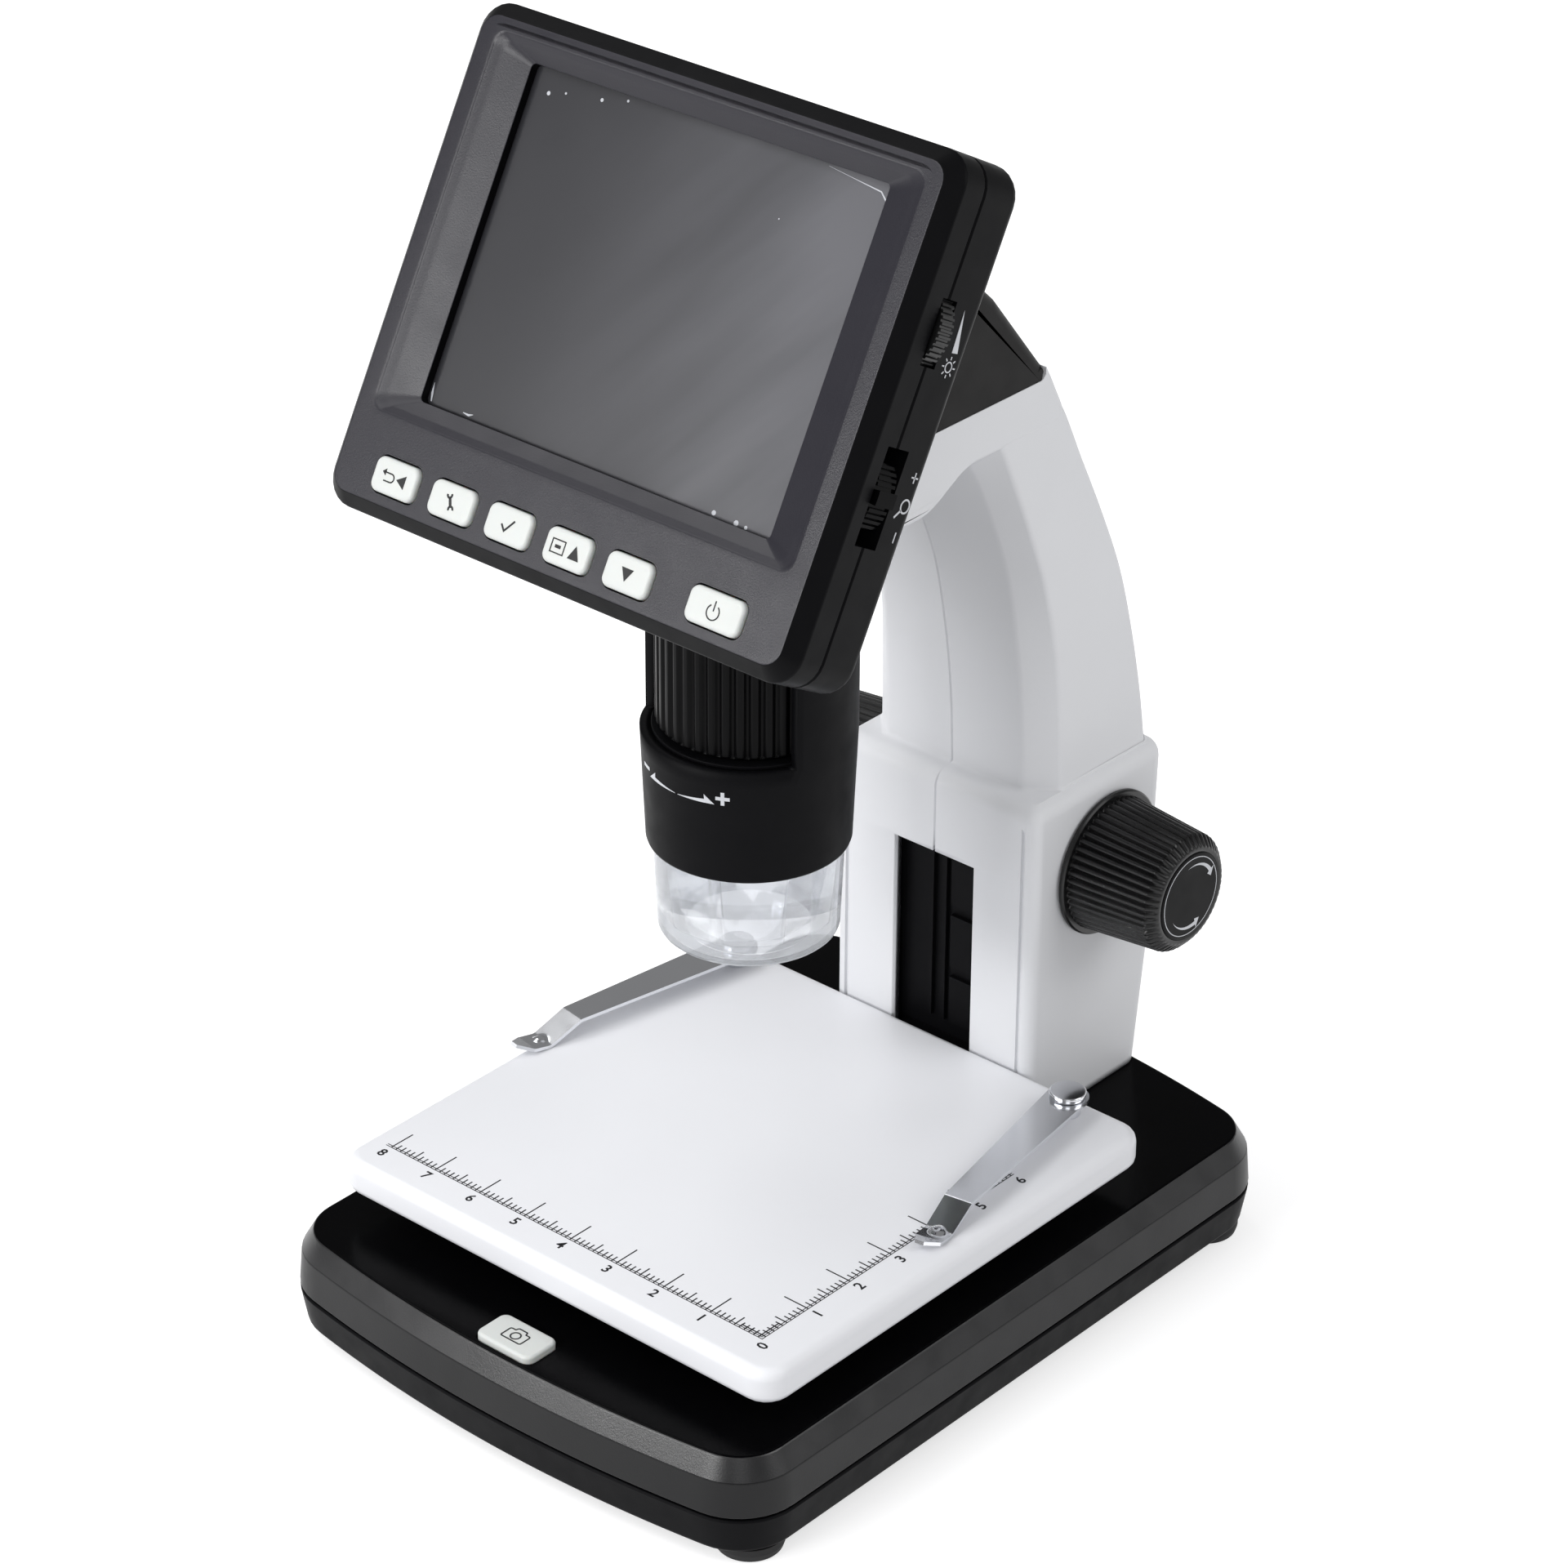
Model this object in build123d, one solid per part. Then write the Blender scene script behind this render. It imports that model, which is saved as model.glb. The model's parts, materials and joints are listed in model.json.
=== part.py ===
from build123d import *
import os
from math import acos, atan, atan2, cos, degrees, pi, radians, sin, sqrt, tan

# Desktop digital microscope with a built-in tilted display.
# A black two-part base carries a white clamshell column and arm. The arm holds a head with a
# fixed display in front and a lens unit below. A raised white stage slides up and down in the
# column, driven by a rack and a pinion on the shaft of two focus knobs.
# Millimetres, +Z up, front faces -Y, floor at z = 0, centre plane at x = 0.

# ---------------------------------------------------------------- driving dimensions
RUN = 0.05            # radial running clearance of turning and sliding fits
SLIDE_GAP = 0.2       # clearance beside flat sliding faces
KEY_GAP = 0.3         # clearance round a push key in its hole
WALL = 2.0            # moulded housing wall

# base
BASE_HALF_W = 52.0
BASE_FRONT = -71.95   # foremost point, on the centre plane
BASE_REAR = 70.2
BASE_FRONT_BOW = 5.05
BASE_REAR_BOW = 6.0
BASE_CORNER_R = 11.25
FOOT_H = 2.5
SEAM_Z = 9.55
BASE_SIDE_TOP = 16.1
BASE_TOP = 19.8
BASE_SIDE_DRAFT = 0.5
BASE_CHAMFER_W = 2.1
TRAY_DRAFT = 1.2
TRAY_EDGE_R = 1.2
FOOT_R = 5.7
FOOT_X = 44.5
FOOT_FRONT_Y = -59.3
FOOT_REAR_Y = 57.0
FOOT_EDGE = 0.6
BASE_SCREW_IN = 18.0  # from the base side to the screws that close it
BASE_SCREW_END = 16.0 # from its front and rear to the end screws

# snapshot button in the base cover
SNAP_W = 11.8
SNAP_D = 7.2
SNAP_Y = -64.6
SNAP_R = 1.5
SNAP_RISE = 1.1       # height above the cover
SNAP_TRAVEL = 0.8
SNAP_BOARD_W = 28.0
SNAP_BOARD_FRONT = 2.5  # reach of its board before and behind the button's axis
SNAP_BOARD_REAR = 11.0
SNAP_POST_IN = 3.0    # from the board's edges to its posts
SWITCH_W = 6.0
SWITCH_D = 5.4

# column and arm, two shells that meet on the centre plane
COL_HALF_W = 21.5
COL_FRONT = 36.75
COL_REAR_FOOT = 67.9
COL_REAR_MID = 70.5
COL_REAR_TOP = 71.85
COL_MID_Z = 41.0
SHOULDER_Z = 80.5
COL_FRONT_R = 2.4
COL_REAR_R = 4.0
SHOULDER_R = 2.8
WINDOW_HALF_W = 8.6
WINDOW_TOP = 65.5
COL_WALL = 1.9
COL_SCREW_IN = 10.5   # from the column side to the screws into the base
COL_SCREW_FRONT = 14.0
COL_SCREW_REAR = 7.0
# screws that close the clamshell from its left side: y, z, depth of the outer side there
SHELL_SCREWS = [(65.0, 44.0, 21.5), (63.5, 90.0, 19.1), (48.5, 121.0, 18.2)]
SHELL_BOSS_R = 3.0
SHELL_POCKET_T = 4.0  # plastic left under each screw head
SHELL_SCREW_GRIP = 9.0

# stations of the arm: front y, z, rear y, z, half width, depth of the front side edge, of the crown
ARM_STATIONS = [
    (41.2, 77.0, 70.1, 77.0, 19.4, 4.7, 0.3),
    (40.4, 92.0, 68.3, 90.0, 19.1, 5.0, 0.5),
    (38.8, 105.0, 65.7, 103.0, 18.7, 5.6, 1.0),
    (35.7, 119.5, 62.3, 115.0, 18.4, 5.8, 1.8),
    (31.3, 130.5, 57.6, 126.5, 18.0, 6.4, 2.6),
    (27.0, 138.5, 52.4, 137.5, 17.7, 7.2, 3.4),
    (22.0, 145.5, 46.9, 149.0, 17.5, 8.6, 4.2),
    (18.0, 150.5, 44.0, 154.0, 17.3, 9.5, 4.8),
]
ARM_FLAT = 0.75       # where the front chamfer starts, as a share of the half width
ARM_REAR_CHAMFER = 1.8

# focus drive
DRIVE_Y = 55.35
DRIVE_Z = 64.0
SHAFT_R = 2.5
GEAR_MODULE = 0.6
GEAR_TEETH = 16
GEAR_W = 6.0
TOOTH_SLACK = 0.06    # taken off each flank of pinion and rack
KNOB_GAP = 0.3        # from the column side to the knob flange
FLANGE_R = 12.8
FLANGE_T = 1.0
KNOB_R_IN = 11.7
KNOB_R_OUT = 10.4
KNOB_FACE_X = 39.4
KNOB_BEVEL = 1.6
KNOB_RIBS = 50
RIB_H = 0.55
CAP_R = 7.8
CAP_T = 0.8

# stage
STAGE_HALF_W = 47.0
STAGE_FRONT = -57.7
STAGE_REAR = 36.35
STAGE_TOP = 31.0
STAGE_T = 6.2
STAGE_CORNER_R = 4.6
STAGE_EDGE_R = 1.6
STAGE_DOWN = 4.5      # travel below the rest height
STAGE_UP = 10.0       # travel above it
TONGUE_HALF_W = 7.6
TONGUE_T = 4.0
TONGUE_Y = 16.0       # front end of the carriage tongue under the plate
CARRIAGE_T = 3.0
CARRIAGE_GAP = 1.0    # from the inside of the column front to the carriage
GUIDE_T = 2.0         # thickness of the column's guide ribs
GUIDE_DEPTH = 4.0     # how far they reach in from the side wall

# stage clips
CLIP_POST_RIGHT = (34.0, 31.3)
CLIP_POST_LEFT = (-38.7, 30.9)
CLIP_SWING = 9.5      # degrees outward from straight forward
CLIP_W = 7.0
CLIP_T = 0.6
CLIP_RISE = 2.7       # underside of the strip above the stage
CLIP_BEND_START = 33.5
CLIP_BEND_END = 37.3
CLIP_FOOT_END = 44.0
CLIP_TIP = 48.0
CLIP_TIP_RISE = 1.6
POST_NECK_R = 2.2
POST_PIN_R = 1.5
POST_HEAD_R = 3.1
POST_HEAD_T = 1.1
POST_EDGE = 0.35

# lens unit, on a vertical axis
LENS_Y = -9.55
HEAD_BOTTOM = 142.0   # underside of the white head housing over the lens
HOOD_BOTTOM = 88.8
HOOD_LIP = 108.65
HOOD_R = 17.2
HOOD_R_LOW = 16.4
HOOD_EDGE_R = 0.6
HOOD_T = 2.0
HOOD_CUT_HALF = 67.0  # degrees each side of straight forward
HOOD_CUT_TOP = 138.0
HOOD_SHELF_T = 3.0
CUP_R_TOP = 15.3
CUP_R_LOW = 14.6
CUP_BOTTOM = 72.3
CUP_TOP = 95.0
CUP_EDGE_R = 1.2
CUP_OPENING_R = 10.0
CUP_T = 1.5
BARREL_R = 11.5
BARREL_T = 1.2
RING_R = 14.8
RING_GAP = 0.5        # above the hood shelf
RING_TOP = 135.0
RING_RIBS = 40
RING_RIB_H = 0.7
CELL_H = 9.0
SENSOR_BOARD_W = 26.0
SENSOR_W = 6.0
CELL_TRAVEL = 1.5
LENS_R = 6.0
LENS_EDGE = 0.8
LED_COUNT = 8
LED_RADIUS = 10.3

# white head housing over the arm
HEAD_HALF_W = 17.5
HEAD_TOP = 155.8
HEAD_REAR_BOTTOM = 147.0
HEAD_STEP_FRONT = 10.75
HEAD_STEP_REAR = 23.75
HEAD_REAR_LOW = 46.9
HEAD_REAR_HIGH = 42.2
HEAD_REAR_EDGE_R = 1.5
# black housing between it and the display
NECK_HALF_W = 17.4
NECK_EDGE_R = 4.0
NECK_KNEE = (28.5, 173.0)
NECK_REAR = 42.2
NECK_TOP_V = 71.0     # where its top meets the display back, up the display

# display, in its own tilted frame: u to the right, v up the face, d inwards
TILT = 61.0
DISPLAY_ORIGIN = (0, -54.75, 151.7)
FACE_W = 90.0
FACE_H = 75.2
FACE_BEVEL_W = 2.3
FACE_BEVEL_D = 2.4
CASE_CORNER_R = 5.0
CASE_SEAM = 7.4
CASE_DEPTH = 16.5
CASE_REAR_R = 2.0
RECESS_W = 83.2
RECESS_V = (13.9, 72.7)
RECESS_DEPTH = 2.1
WINDOW_W = 70.1
WINDOW_V = (16.75, 70.05)
WINDOW_STEP = 1.0
GLASS_T = 0.8
GLASS_LAP = 1.5
LCD_W = 76.9
LCD_H = 63.9
LCD_T = 2.2
BOARD_T = 1.6
KEY_BOARD_H = 10.2
MAIN_BOARD_LOW = 12.8  # from the inner wall under the keys to the main board
MAIN_BOARD_GAP = 1.0
KEY_V = 4.45
KEY_H = 7.2
KEY_W = 9.0
KEY_R = 1.8
KEY_RISE = 0.8
KEY_TRAVEL = 0.5
KEY_FLANGE = 0.9
KEY_US = {"back_key": -32.6, "settings_key": -20.75, "confirm_key": -9.0,
          "mode_up_key": 2.95, "down_key": 14.9}
POWER_KEY_U = 31.9
POWER_KEY_W = 11.0

# side controls on the right of the display
WHEEL_R = 8.0
WHEEL_T = 3.0
WHEEL_PROUD = 1.2
WHEEL_V = 52.35
WHEEL_D = 7.8
WHEEL_SLOT_L = 10.1
WHEEL_RIBS = 54
ZOOM_V = 27.65
ZOOM_D = 7.8
ZOOM_SLOT_L = 14.9
ZOOM_SLOT_W = 5.2
ZOOM_R = 12.0
ZOOM_RIM = 3.0
ZOOM_NUB = 1.2
ZOOM_T = 4.4
ZOOM_HALF_ANGLE = 24.0
ZOOM_TRAVEL = 10.0    # degrees each way
SIDE_PIN_R = 1.5

# sockets on the left of the display
USB_V = 30.0
USB_W = 7.8
USB_T = 3.2
CARD_V = 50.0
CARD_W = 12.0
CARD_T = 1.4

# ---------------------------------------------------------------- helpers
os.makedirs("parts", exist_ok=True)


def save(name, *shapes):
    """Write one named piece, or one group of equal pieces."""
    solids = [s for shape in shapes for s in shape.solids()]
    export_step(Compound(children=solids), f"parts/{name}.step")


def box(x, y, z):
    """Box between two corners on each axis."""
    return Pos((x[0] + x[1]) / 2, (y[0] + y[1]) / 2, (z[0] + z[1]) / 2) * Box(
        x[1] - x[0], y[1] - y[0], z[1] - z[0])


def cyl(r, z0, z1, x=0.0, y=0.0):
    """Upright cylinder between two heights."""
    return Pos(x, y, (z0 + z1) / 2) * Cylinder(r, z1 - z0)


def xcyl(r, x0, x1, y, z):
    """Cylinder along x."""
    return Pos((x0 + x1) / 2, y, z) * Rot(0, 90, 0) * Cylinder(r, abs(x1 - x0))


def turned(points, y=0.0):
    """Solid of revolution from (r, z) points about the vertical line through (0, y)."""
    face = Plane.XZ * make_face(Polyline(*points, close=True))
    return Pos(0, y, 0) * revolve(face, Axis.Z)


def side_prism(outline, half_w):
    """Outline in (y, z), thickened to both sides of the centre plane."""
    return extrude(Plane.YZ * outline, amount=half_w, both=True)


def ribbed_outline(r, rib_h, count):
    """Closed outline with square ribs, as points round the origin."""
    points = []
    for k in range(count):
        for share, radius in ((0.02, r - rib_h), (0.38, r - rib_h), (0.5, r), (0.9, r)):
            a = 2 * pi * (k + share) / count
            points.append((radius * cos(a), radius * sin(a)))
    return points


def ribbed_prism(r0, r1, rib_h, count, length):
    """Upright ribbed plug from radius r0 at z = 0 to r1 at z = length."""
    low = make_face(Polyline(*ribbed_outline(r0, rib_h, count), close=True))
    if r0 == r1:
        return extrude(low, amount=length)
    high = make_face(Polyline(*ribbed_outline(r1, rib_h, count), close=True))
    return loft([low, Pos(0, 0, length) * high], ruled=True)


def halves(shape, reach=200.0):
    """The two sides of a shape, left first."""
    left = shape & box((-reach, 0), (-reach, reach), (-reach, 2 * reach))
    right = shape & box((0, reach), (-reach, reach), (-reach, 2 * reach))
    return left, right


# ---------------------------------------------------------------- base
def base_outline(inset=0.0):
    """Plan of the base: straight sides, bowed front and rear, round corners."""
    w = BASE_HALF_W - inset
    front = BASE_FRONT + inset
    rear = BASE_REAR - inset
    front_corner = front + BASE_FRONT_BOW
    rear_corner = rear - BASE_REAR_BOW
    edges = [
        ThreePointArc((-w, front_corner), (0, front), (w, front_corner)),
        Line((w, front_corner), (w, rear_corner)),
        ThreePointArc((w, rear_corner), (0, rear), (-w, rear_corner)),
        Line((-w, rear_corner), (-w, front_corner)),
    ]
    face = make_face(edges)
    return fillet(face.vertices(), max(BASE_CORNER_R - inset, 1.0))


def cover_form(inset, z0):
    """Outer form of the base cover, or the same form set in by a wall."""
    taper = degrees(atan(BASE_SIDE_DRAFT / (BASE_SIDE_TOP - SEAM_Z)))
    form = extrude(Pos(0, 0, z0) * base_outline(inset), amount=BASE_TOP - inset - z0, taper=taper)
    top = form.faces().sort_by(Axis.Z)[-1]
    return form.chamfer(BASE_CHAMFER_W, BASE_TOP - BASE_SIDE_TOP, list(top.edges()), face=top)


def tray_form(inset, z_top):
    """Outer form of the lower tray, narrower towards the floor."""
    depth = SEAM_Z - FOOT_H - inset
    draft = TRAY_DRAFT * depth / (SEAM_Z - FOOT_H)
    floor_outline = Pos(0, 0, SEAM_Z - depth) * base_outline(inset + draft)
    form = loft([floor_outline, Pos(0, 0, SEAM_Z) * base_outline(inset)], ruled=True)
    if not inset:
        floor = form.faces().sort_by(Axis.Z)[0]
        form = form.chamfer(TRAY_EDGE_R, TRAY_EDGE_R, list(floor.edges()), face=floor)
    if z_top > SEAM_Z:
        form += extrude(Pos(0, 0, SEAM_Z) * base_outline(inset), amount=z_top - SEAM_Z)
    return form


# places of the screws that close the base
base_screw_x = BASE_HALF_W - BASE_SCREW_IN
base_screw_y = (BASE_FRONT + BASE_SCREW_END, BASE_REAR - BASE_SCREW_END)
BASE_SCREWS = [(x, y) for x in (-base_screw_x, base_screw_x)
               for y in (base_screw_y[0], sum(base_screw_y) / 2, base_screw_y[1])]
col_screw_x = COL_HALF_W - COL_SCREW_IN
COLUMN_SCREWS = [(x, y) for x in (-col_screw_x, col_screw_x)
                 for y in (COL_FRONT + COL_SCREW_FRONT, COL_REAR_FOOT - COL_SCREW_REAR)]
BOSS_R = 3.2
SCREW_R = 1.25
SCREW_HEAD_R = 2.5
SCREW_HEAD_T = 1.6
SCREW_CLEAR = 1.0     # free hole beyond a screw's tip
BASE_SCREW_BITE = 6.0
COL_SCREW_BITE = 7.0
SCREW_POCKET = 2.4    # depth of the screw pockets in the underside

snap_hole = Pos(0, SNAP_Y, BASE_TOP) * extrude(
    RectangleRounded(SNAP_W + 2 * KEY_GAP, SNAP_D + 2 * KEY_GAP, SNAP_R), amount=WALL * 2, both=True)

cover = cover_form(0, SEAM_Z) - cover_form(WALL, SEAM_Z - 1) - snap_hole
for x, y in BASE_SCREWS:
    cover += cyl(BOSS_R, SEAM_Z + 1, BASE_TOP - WALL / 2, x, y)
    cover -= cyl(SCREW_R, SEAM_Z, SEAM_Z + BASE_SCREW_BITE + SCREW_CLEAR, x, y)
for x, y in COLUMN_SCREWS:
    cover -= cyl(SCREW_R + 0.2, SEAM_Z, BASE_TOP + 1, x, y)
save("base_upper_cover", cover)

tray = tray_form(0, SEAM_Z) - tray_form(WALL, SEAM_Z)
for x, y in BASE_SCREWS:
    tray += cyl(BOSS_R, FOOT_H + WALL / 2, SEAM_Z + 1, x, y)
    tray -= cyl(SCREW_HEAD_R + 0.2, 0, FOOT_H + SCREW_POCKET, x, y) + cyl(SCREW_R + 0.2, 0, BASE_TOP, x, y)
LIP_T = 0.9           # tongue of the tray inside the cover's wall
LIP_H = 1.4
lip_outline = base_outline(WALL + SLIDE_GAP) - base_outline(WALL + SLIDE_GAP + LIP_T)
lip = extrude(Pos(0, 0, SEAM_Z - LIP_H) * lip_outline, amount=2 * LIP_H)
save("base_lower_tray", tray + lip)

FEET = [(s * FOOT_X, y) for s in (-1, 1) for y in (FOOT_FRONT_Y, FOOT_REAR_Y)]
foot = chamfer(cyl(FOOT_R, 0, FOOT_H).edges().sort_by(Axis.Z)[0], FOOT_EDGE)
save("rubber_feet", *[Pos(x, y, 0) * foot for x, y in FEET])


def screw(length):
    """Pan-head screw, head down, with its seat at z = 0."""
    return cyl(SCREW_HEAD_R, -SCREW_HEAD_T, 0) + cyl(SCREW_R, 0, length)


screw_seat = FOOT_H + SCREW_POCKET
base_screw_l = SEAM_Z + BASE_SCREW_BITE - screw_seat
save("base_screws", *[Pos(x, y, screw_seat) * screw(base_screw_l) for x, y in BASE_SCREWS])

# battery and snapshot switch board inside the base
BATTERY = (50.0, 34.0, 5.4)
BATTERY_FRONT = -40.0
battery = box((-BATTERY[0] / 2, BATTERY[0] / 2), (BATTERY_FRONT, BATTERY_FRONT + BATTERY[1]),
              (FOOT_H + WALL, FOOT_H + WALL + BATTERY[2]))
save("battery_pack", fillet(battery.edges().filter_by(Axis.Z), 1.5))

snap_flange_top = BASE_TOP - WALL - RUN
snap_stem_bottom = snap_flange_top - KEY_FLANGE - 1.0
snap_cap = Pos(0, SNAP_Y, snap_flange_top) * extrude(
    RectangleRounded(SNAP_W, SNAP_D, SNAP_R - KEY_GAP), amount=BASE_TOP + SNAP_RISE - snap_flange_top)
snap_cap = fillet(snap_cap.edges().group_by(Axis.Z)[-1], 0.5)
snap_flange = box((-SNAP_W / 2 - 1, SNAP_W / 2 + 1), (SNAP_Y - SNAP_D / 2 + 1.6, SNAP_Y + SNAP_D / 2 + 1),
                  (snap_flange_top - KEY_FLANGE, snap_flange_top))
SNAP_STEM_R = 1.8
snap_stem = cyl(SNAP_STEM_R, snap_stem_bottom, snap_flange_top, 0, SNAP_Y)
save("snapshot_button", snap_cap + snap_flange + snap_stem)

SWITCH_H = 2.0
switch_top = snap_stem_bottom - SNAP_TRAVEL - RUN
board_top = switch_top - SWITCH_H
snap_board = box((-SNAP_BOARD_W / 2, SNAP_BOARD_W / 2),
                 (SNAP_Y - SNAP_BOARD_FRONT, SNAP_Y + SNAP_BOARD_REAR),
                 (board_top - BOARD_T, board_top))
snap_post_x = SNAP_BOARD_W / 2 - SNAP_POST_IN
snap_post_y = SNAP_Y + SNAP_BOARD_REAR - SNAP_POST_IN
snap_posts = [cyl(SNAP_STEM_R, FOOT_H + WALL, board_top - BOARD_T, x, snap_post_y)
              for x in (-snap_post_x, snap_post_x)]
switch_front = SNAP_Y - SNAP_BOARD_FRONT + SLIDE_GAP
save("snapshot_board", snap_board + box((-SWITCH_W / 2, SWITCH_W / 2),
                                        (switch_front, switch_front + SWITCH_D),
                                        (board_top, switch_top)))
save("snapshot_board_posts", *snap_posts)


# ---------------------------------------------------------------- tilted display frame and head forms
SCREEN = Plane(origin=DISPLAY_ORIGIN, x_dir=(1, 0, 0),
               z_dir=(0, -sin(radians(TILT)), cos(radians(TILT))))


def on_back(v, depth=CASE_DEPTH):
    """Point (y, z) on the centre plane, v up the display and so deep behind its face."""
    t = radians(TILT)
    return (DISPLAY_ORIGIN[1] + v * cos(t) + depth * sin(t), DISPLAY_ORIGIN[2] + v * sin(t) - depth * cos(t))


def back_v(z):
    """Place up the display where its back passes a height."""
    t = radians(TILT)
    return (z - DISPLAY_ORIGIN[2] + CASE_DEPTH * cos(t)) / sin(t)


def head_lower_form():
    """White housing: flat top, underside that steps down in an S towards the lens."""
    low_front = on_back(back_v(HEAD_BOTTOM))
    top_front = on_back(back_v(HEAD_TOP))
    step_a = (HEAD_STEP_FRONT, HEAD_BOTTOM)
    step_b = (HEAD_STEP_REAR, HEAD_REAR_BOTTOM)
    rear_low = (HEAD_REAR_LOW, HEAD_REAR_BOTTOM)
    rear_high = (HEAD_REAR_HIGH, HEAD_TOP)
    outline = make_face([
        Line(low_front, step_a),
        Spline(step_a, step_b, tangents=[(1, 0), (1, 0)]),
        Line(step_b, rear_low), Line(rear_low, rear_high), Line(rear_high, top_front),
        Line(top_front, low_front)])
    form = side_prism(outline, HEAD_HALF_W)
    rear = form.edges().filter_by(Axis.X).sort_by(Axis.Y)[-1]
    return fillet(rear, HEAD_REAR_EDGE_R)


def neck_outline():
    """Side outline of the black housing: a wedge from the display back to the rear."""
    top = on_back(NECK_TOP_V)
    return make_face(Polyline(on_back(back_v(HEAD_TOP)), top, NECK_KNEE, (NECK_REAR, HEAD_TOP), close=True))


head_lower = head_lower_form()
head_cavity = box((-HEAD_HALF_W + WALL, HEAD_HALF_W - WALL),
                  (on_back(back_v(HEAD_TOP))[0] + WALL, HEAD_STEP_FRONT),
                  (HEAD_BOTTOM + WALL, HEAD_TOP + 1))
head_cavity += box((-HEAD_HALF_W + WALL, HEAD_HALF_W - WALL),
                   (HEAD_STEP_FRONT - 1, HEAD_REAR_HIGH - WALL - 1),
                   (HEAD_REAR_BOTTOM + WALL, HEAD_TOP + 1))
cable_way = cyl(5.0, HEAD_BOTTOM - 5, HEAD_TOP, 0, (HEAD_STEP_REAR + HEAD_REAR_LOW) / 2)
lens_way = cyl(BARREL_R - BARREL_T, HEAD_BOTTOM - 1, HEAD_TOP, 0, LENS_Y)
save("head_lower_housing", head_lower - head_cavity - cable_way - lens_way)

neck = side_prism(neck_outline(), NECK_HALF_W)
slope_edges = neck.edges().filter_by(lambda e: e.bounding_box().size.X < 0.01 and e.center().Z > HEAD_TOP + 1
                                     and e.center().Y > on_back(NECK_TOP_V)[0] - 1)
neck = fillet(slope_edges, NECK_EDGE_R)
neck_inner = side_prism(offset(neck_outline(), amount=-WALL), NECK_HALF_W - WALL)
neck_mouth = box((-NECK_HALF_W + WALL, NECK_HALF_W - WALL),
                 (on_back(back_v(HEAD_TOP))[0] + 2 * WALL, NECK_REAR - 2 * WALL),
                 (HEAD_TOP - 1, HEAD_TOP + WALL + 1))
save("head_upper_housing", neck - neck_inner - neck_mouth)


# ---------------------------------------------------------------- column and arm
def column_form(inset):
    """Upright housing with a slightly bowed back, or the same form set in by a wall."""
    rise = inset > 0
    front = COL_FRONT + inset
    foot = BASE_TOP - (1 if rise else 0)
    top = SHOULDER_Z - inset
    rear_arc = ThreePointArc((COL_REAR_FOOT - inset, foot), (COL_REAR_MID - inset, COL_MID_Z),
                             (COL_REAR_TOP - inset, top))
    outline = make_face([Line((front, foot), (COL_REAR_FOOT - inset, foot)), rear_arc,
                         Line((COL_REAR_TOP - inset, top), (front, top)), Line((front, top), (front, foot))])
    form = side_prism(outline, COL_HALF_W - inset)
    upright = form.edges().filter_by(lambda e: abs(e.bounding_box().size.Z - (top - foot)) < 0.01)
    by_y = upright.sort_by(Axis.Y)
    form = fillet(by_y[-2:], max(COL_REAR_R - inset, 1.0))
    upright = form.edges().filter_by(lambda e: abs(e.bounding_box().size.Z - (top - foot)) < 0.01)
    form = fillet(upright.sort_by(Axis.Y)[:2], max(COL_FRONT_R - inset, 0.5))
    top_edges = form.faces().sort_by(Axis.Z)[-1].edges()
    return fillet(top_edges, max(SHOULDER_R - inset, 0.4))


def arm_section(station, inset):
    """Section with a crowned front and chamfered corners, between the front and rear points of a station."""
    fy, fz, ry, rz, half_w, side_depth, crown = station
    length = sqrt((ry - fy) ** 2 + (rz - fz) ** 2)
    lean = degrees(atan2(rz - fz, ry - fy))
    plane = Plane(origin=(0, fy, fz), x_dir=(1, 0, 0), z_dir=(0, -sin(radians(lean)), cos(radians(lean))))
    w = half_w - inset
    flat = half_w * ARM_FLAT - inset * 0.4
    near = crown + inset
    far = length - inset
    side_near = side_depth + inset * 0.4
    side_far = length - ARM_REAR_CHAMFER - inset * 0.4
    right = [(flat, near), (w, side_near), (w, side_far), (flat, far)]
    left = [(-x, y) for x, y in reversed(right)]
    return plane * make_face(Polyline((0, inset), *right, *left, close=True))


def arm_form(inset):
    """Arch of the arm, lofted through its stations."""
    return loft([arm_section(s, inset) for s in ARM_STATIONS])


above_arm = box((-60, 60), (-60, 90), (HEAD_REAR_BOTTOM, 200)) + head_lower
body = column_form(0) + (arm_form(0) - above_arm)
hollow = column_form(COL_WALL) + arm_form(COL_WALL)
window = box((-WINDOW_HALF_W, WINDOW_HALF_W), (COL_FRONT - 1, COL_FRONT + COL_WALL + 1),
             (BASE_TOP - 1, WINDOW_TOP))

# slide guides on the side walls, pierced by the drive shaft
carriage_front = COL_FRONT + COL_WALL + CARRIAGE_GAP
carriage_rear = carriage_front + CARRIAGE_T
inner_half = COL_HALF_W - COL_WALL
guides = []
for side in (-1, 1):
    for y0 in (carriage_front - SLIDE_GAP - GUIDE_T, carriage_rear + SLIDE_GAP):
        y0 = max(y0, COL_FRONT + COL_WALL / 2)
        y1 = carriage_front - SLIDE_GAP if y0 < carriage_front else y0 + GUIDE_T
        x = sorted((side * (inner_half - GUIDE_DEPTH), side * (inner_half + COL_WALL / 2)))
        guides.append(box(x, (y0, y1), (BASE_TOP, SHOULDER_Z - SHOULDER_R)))

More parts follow.
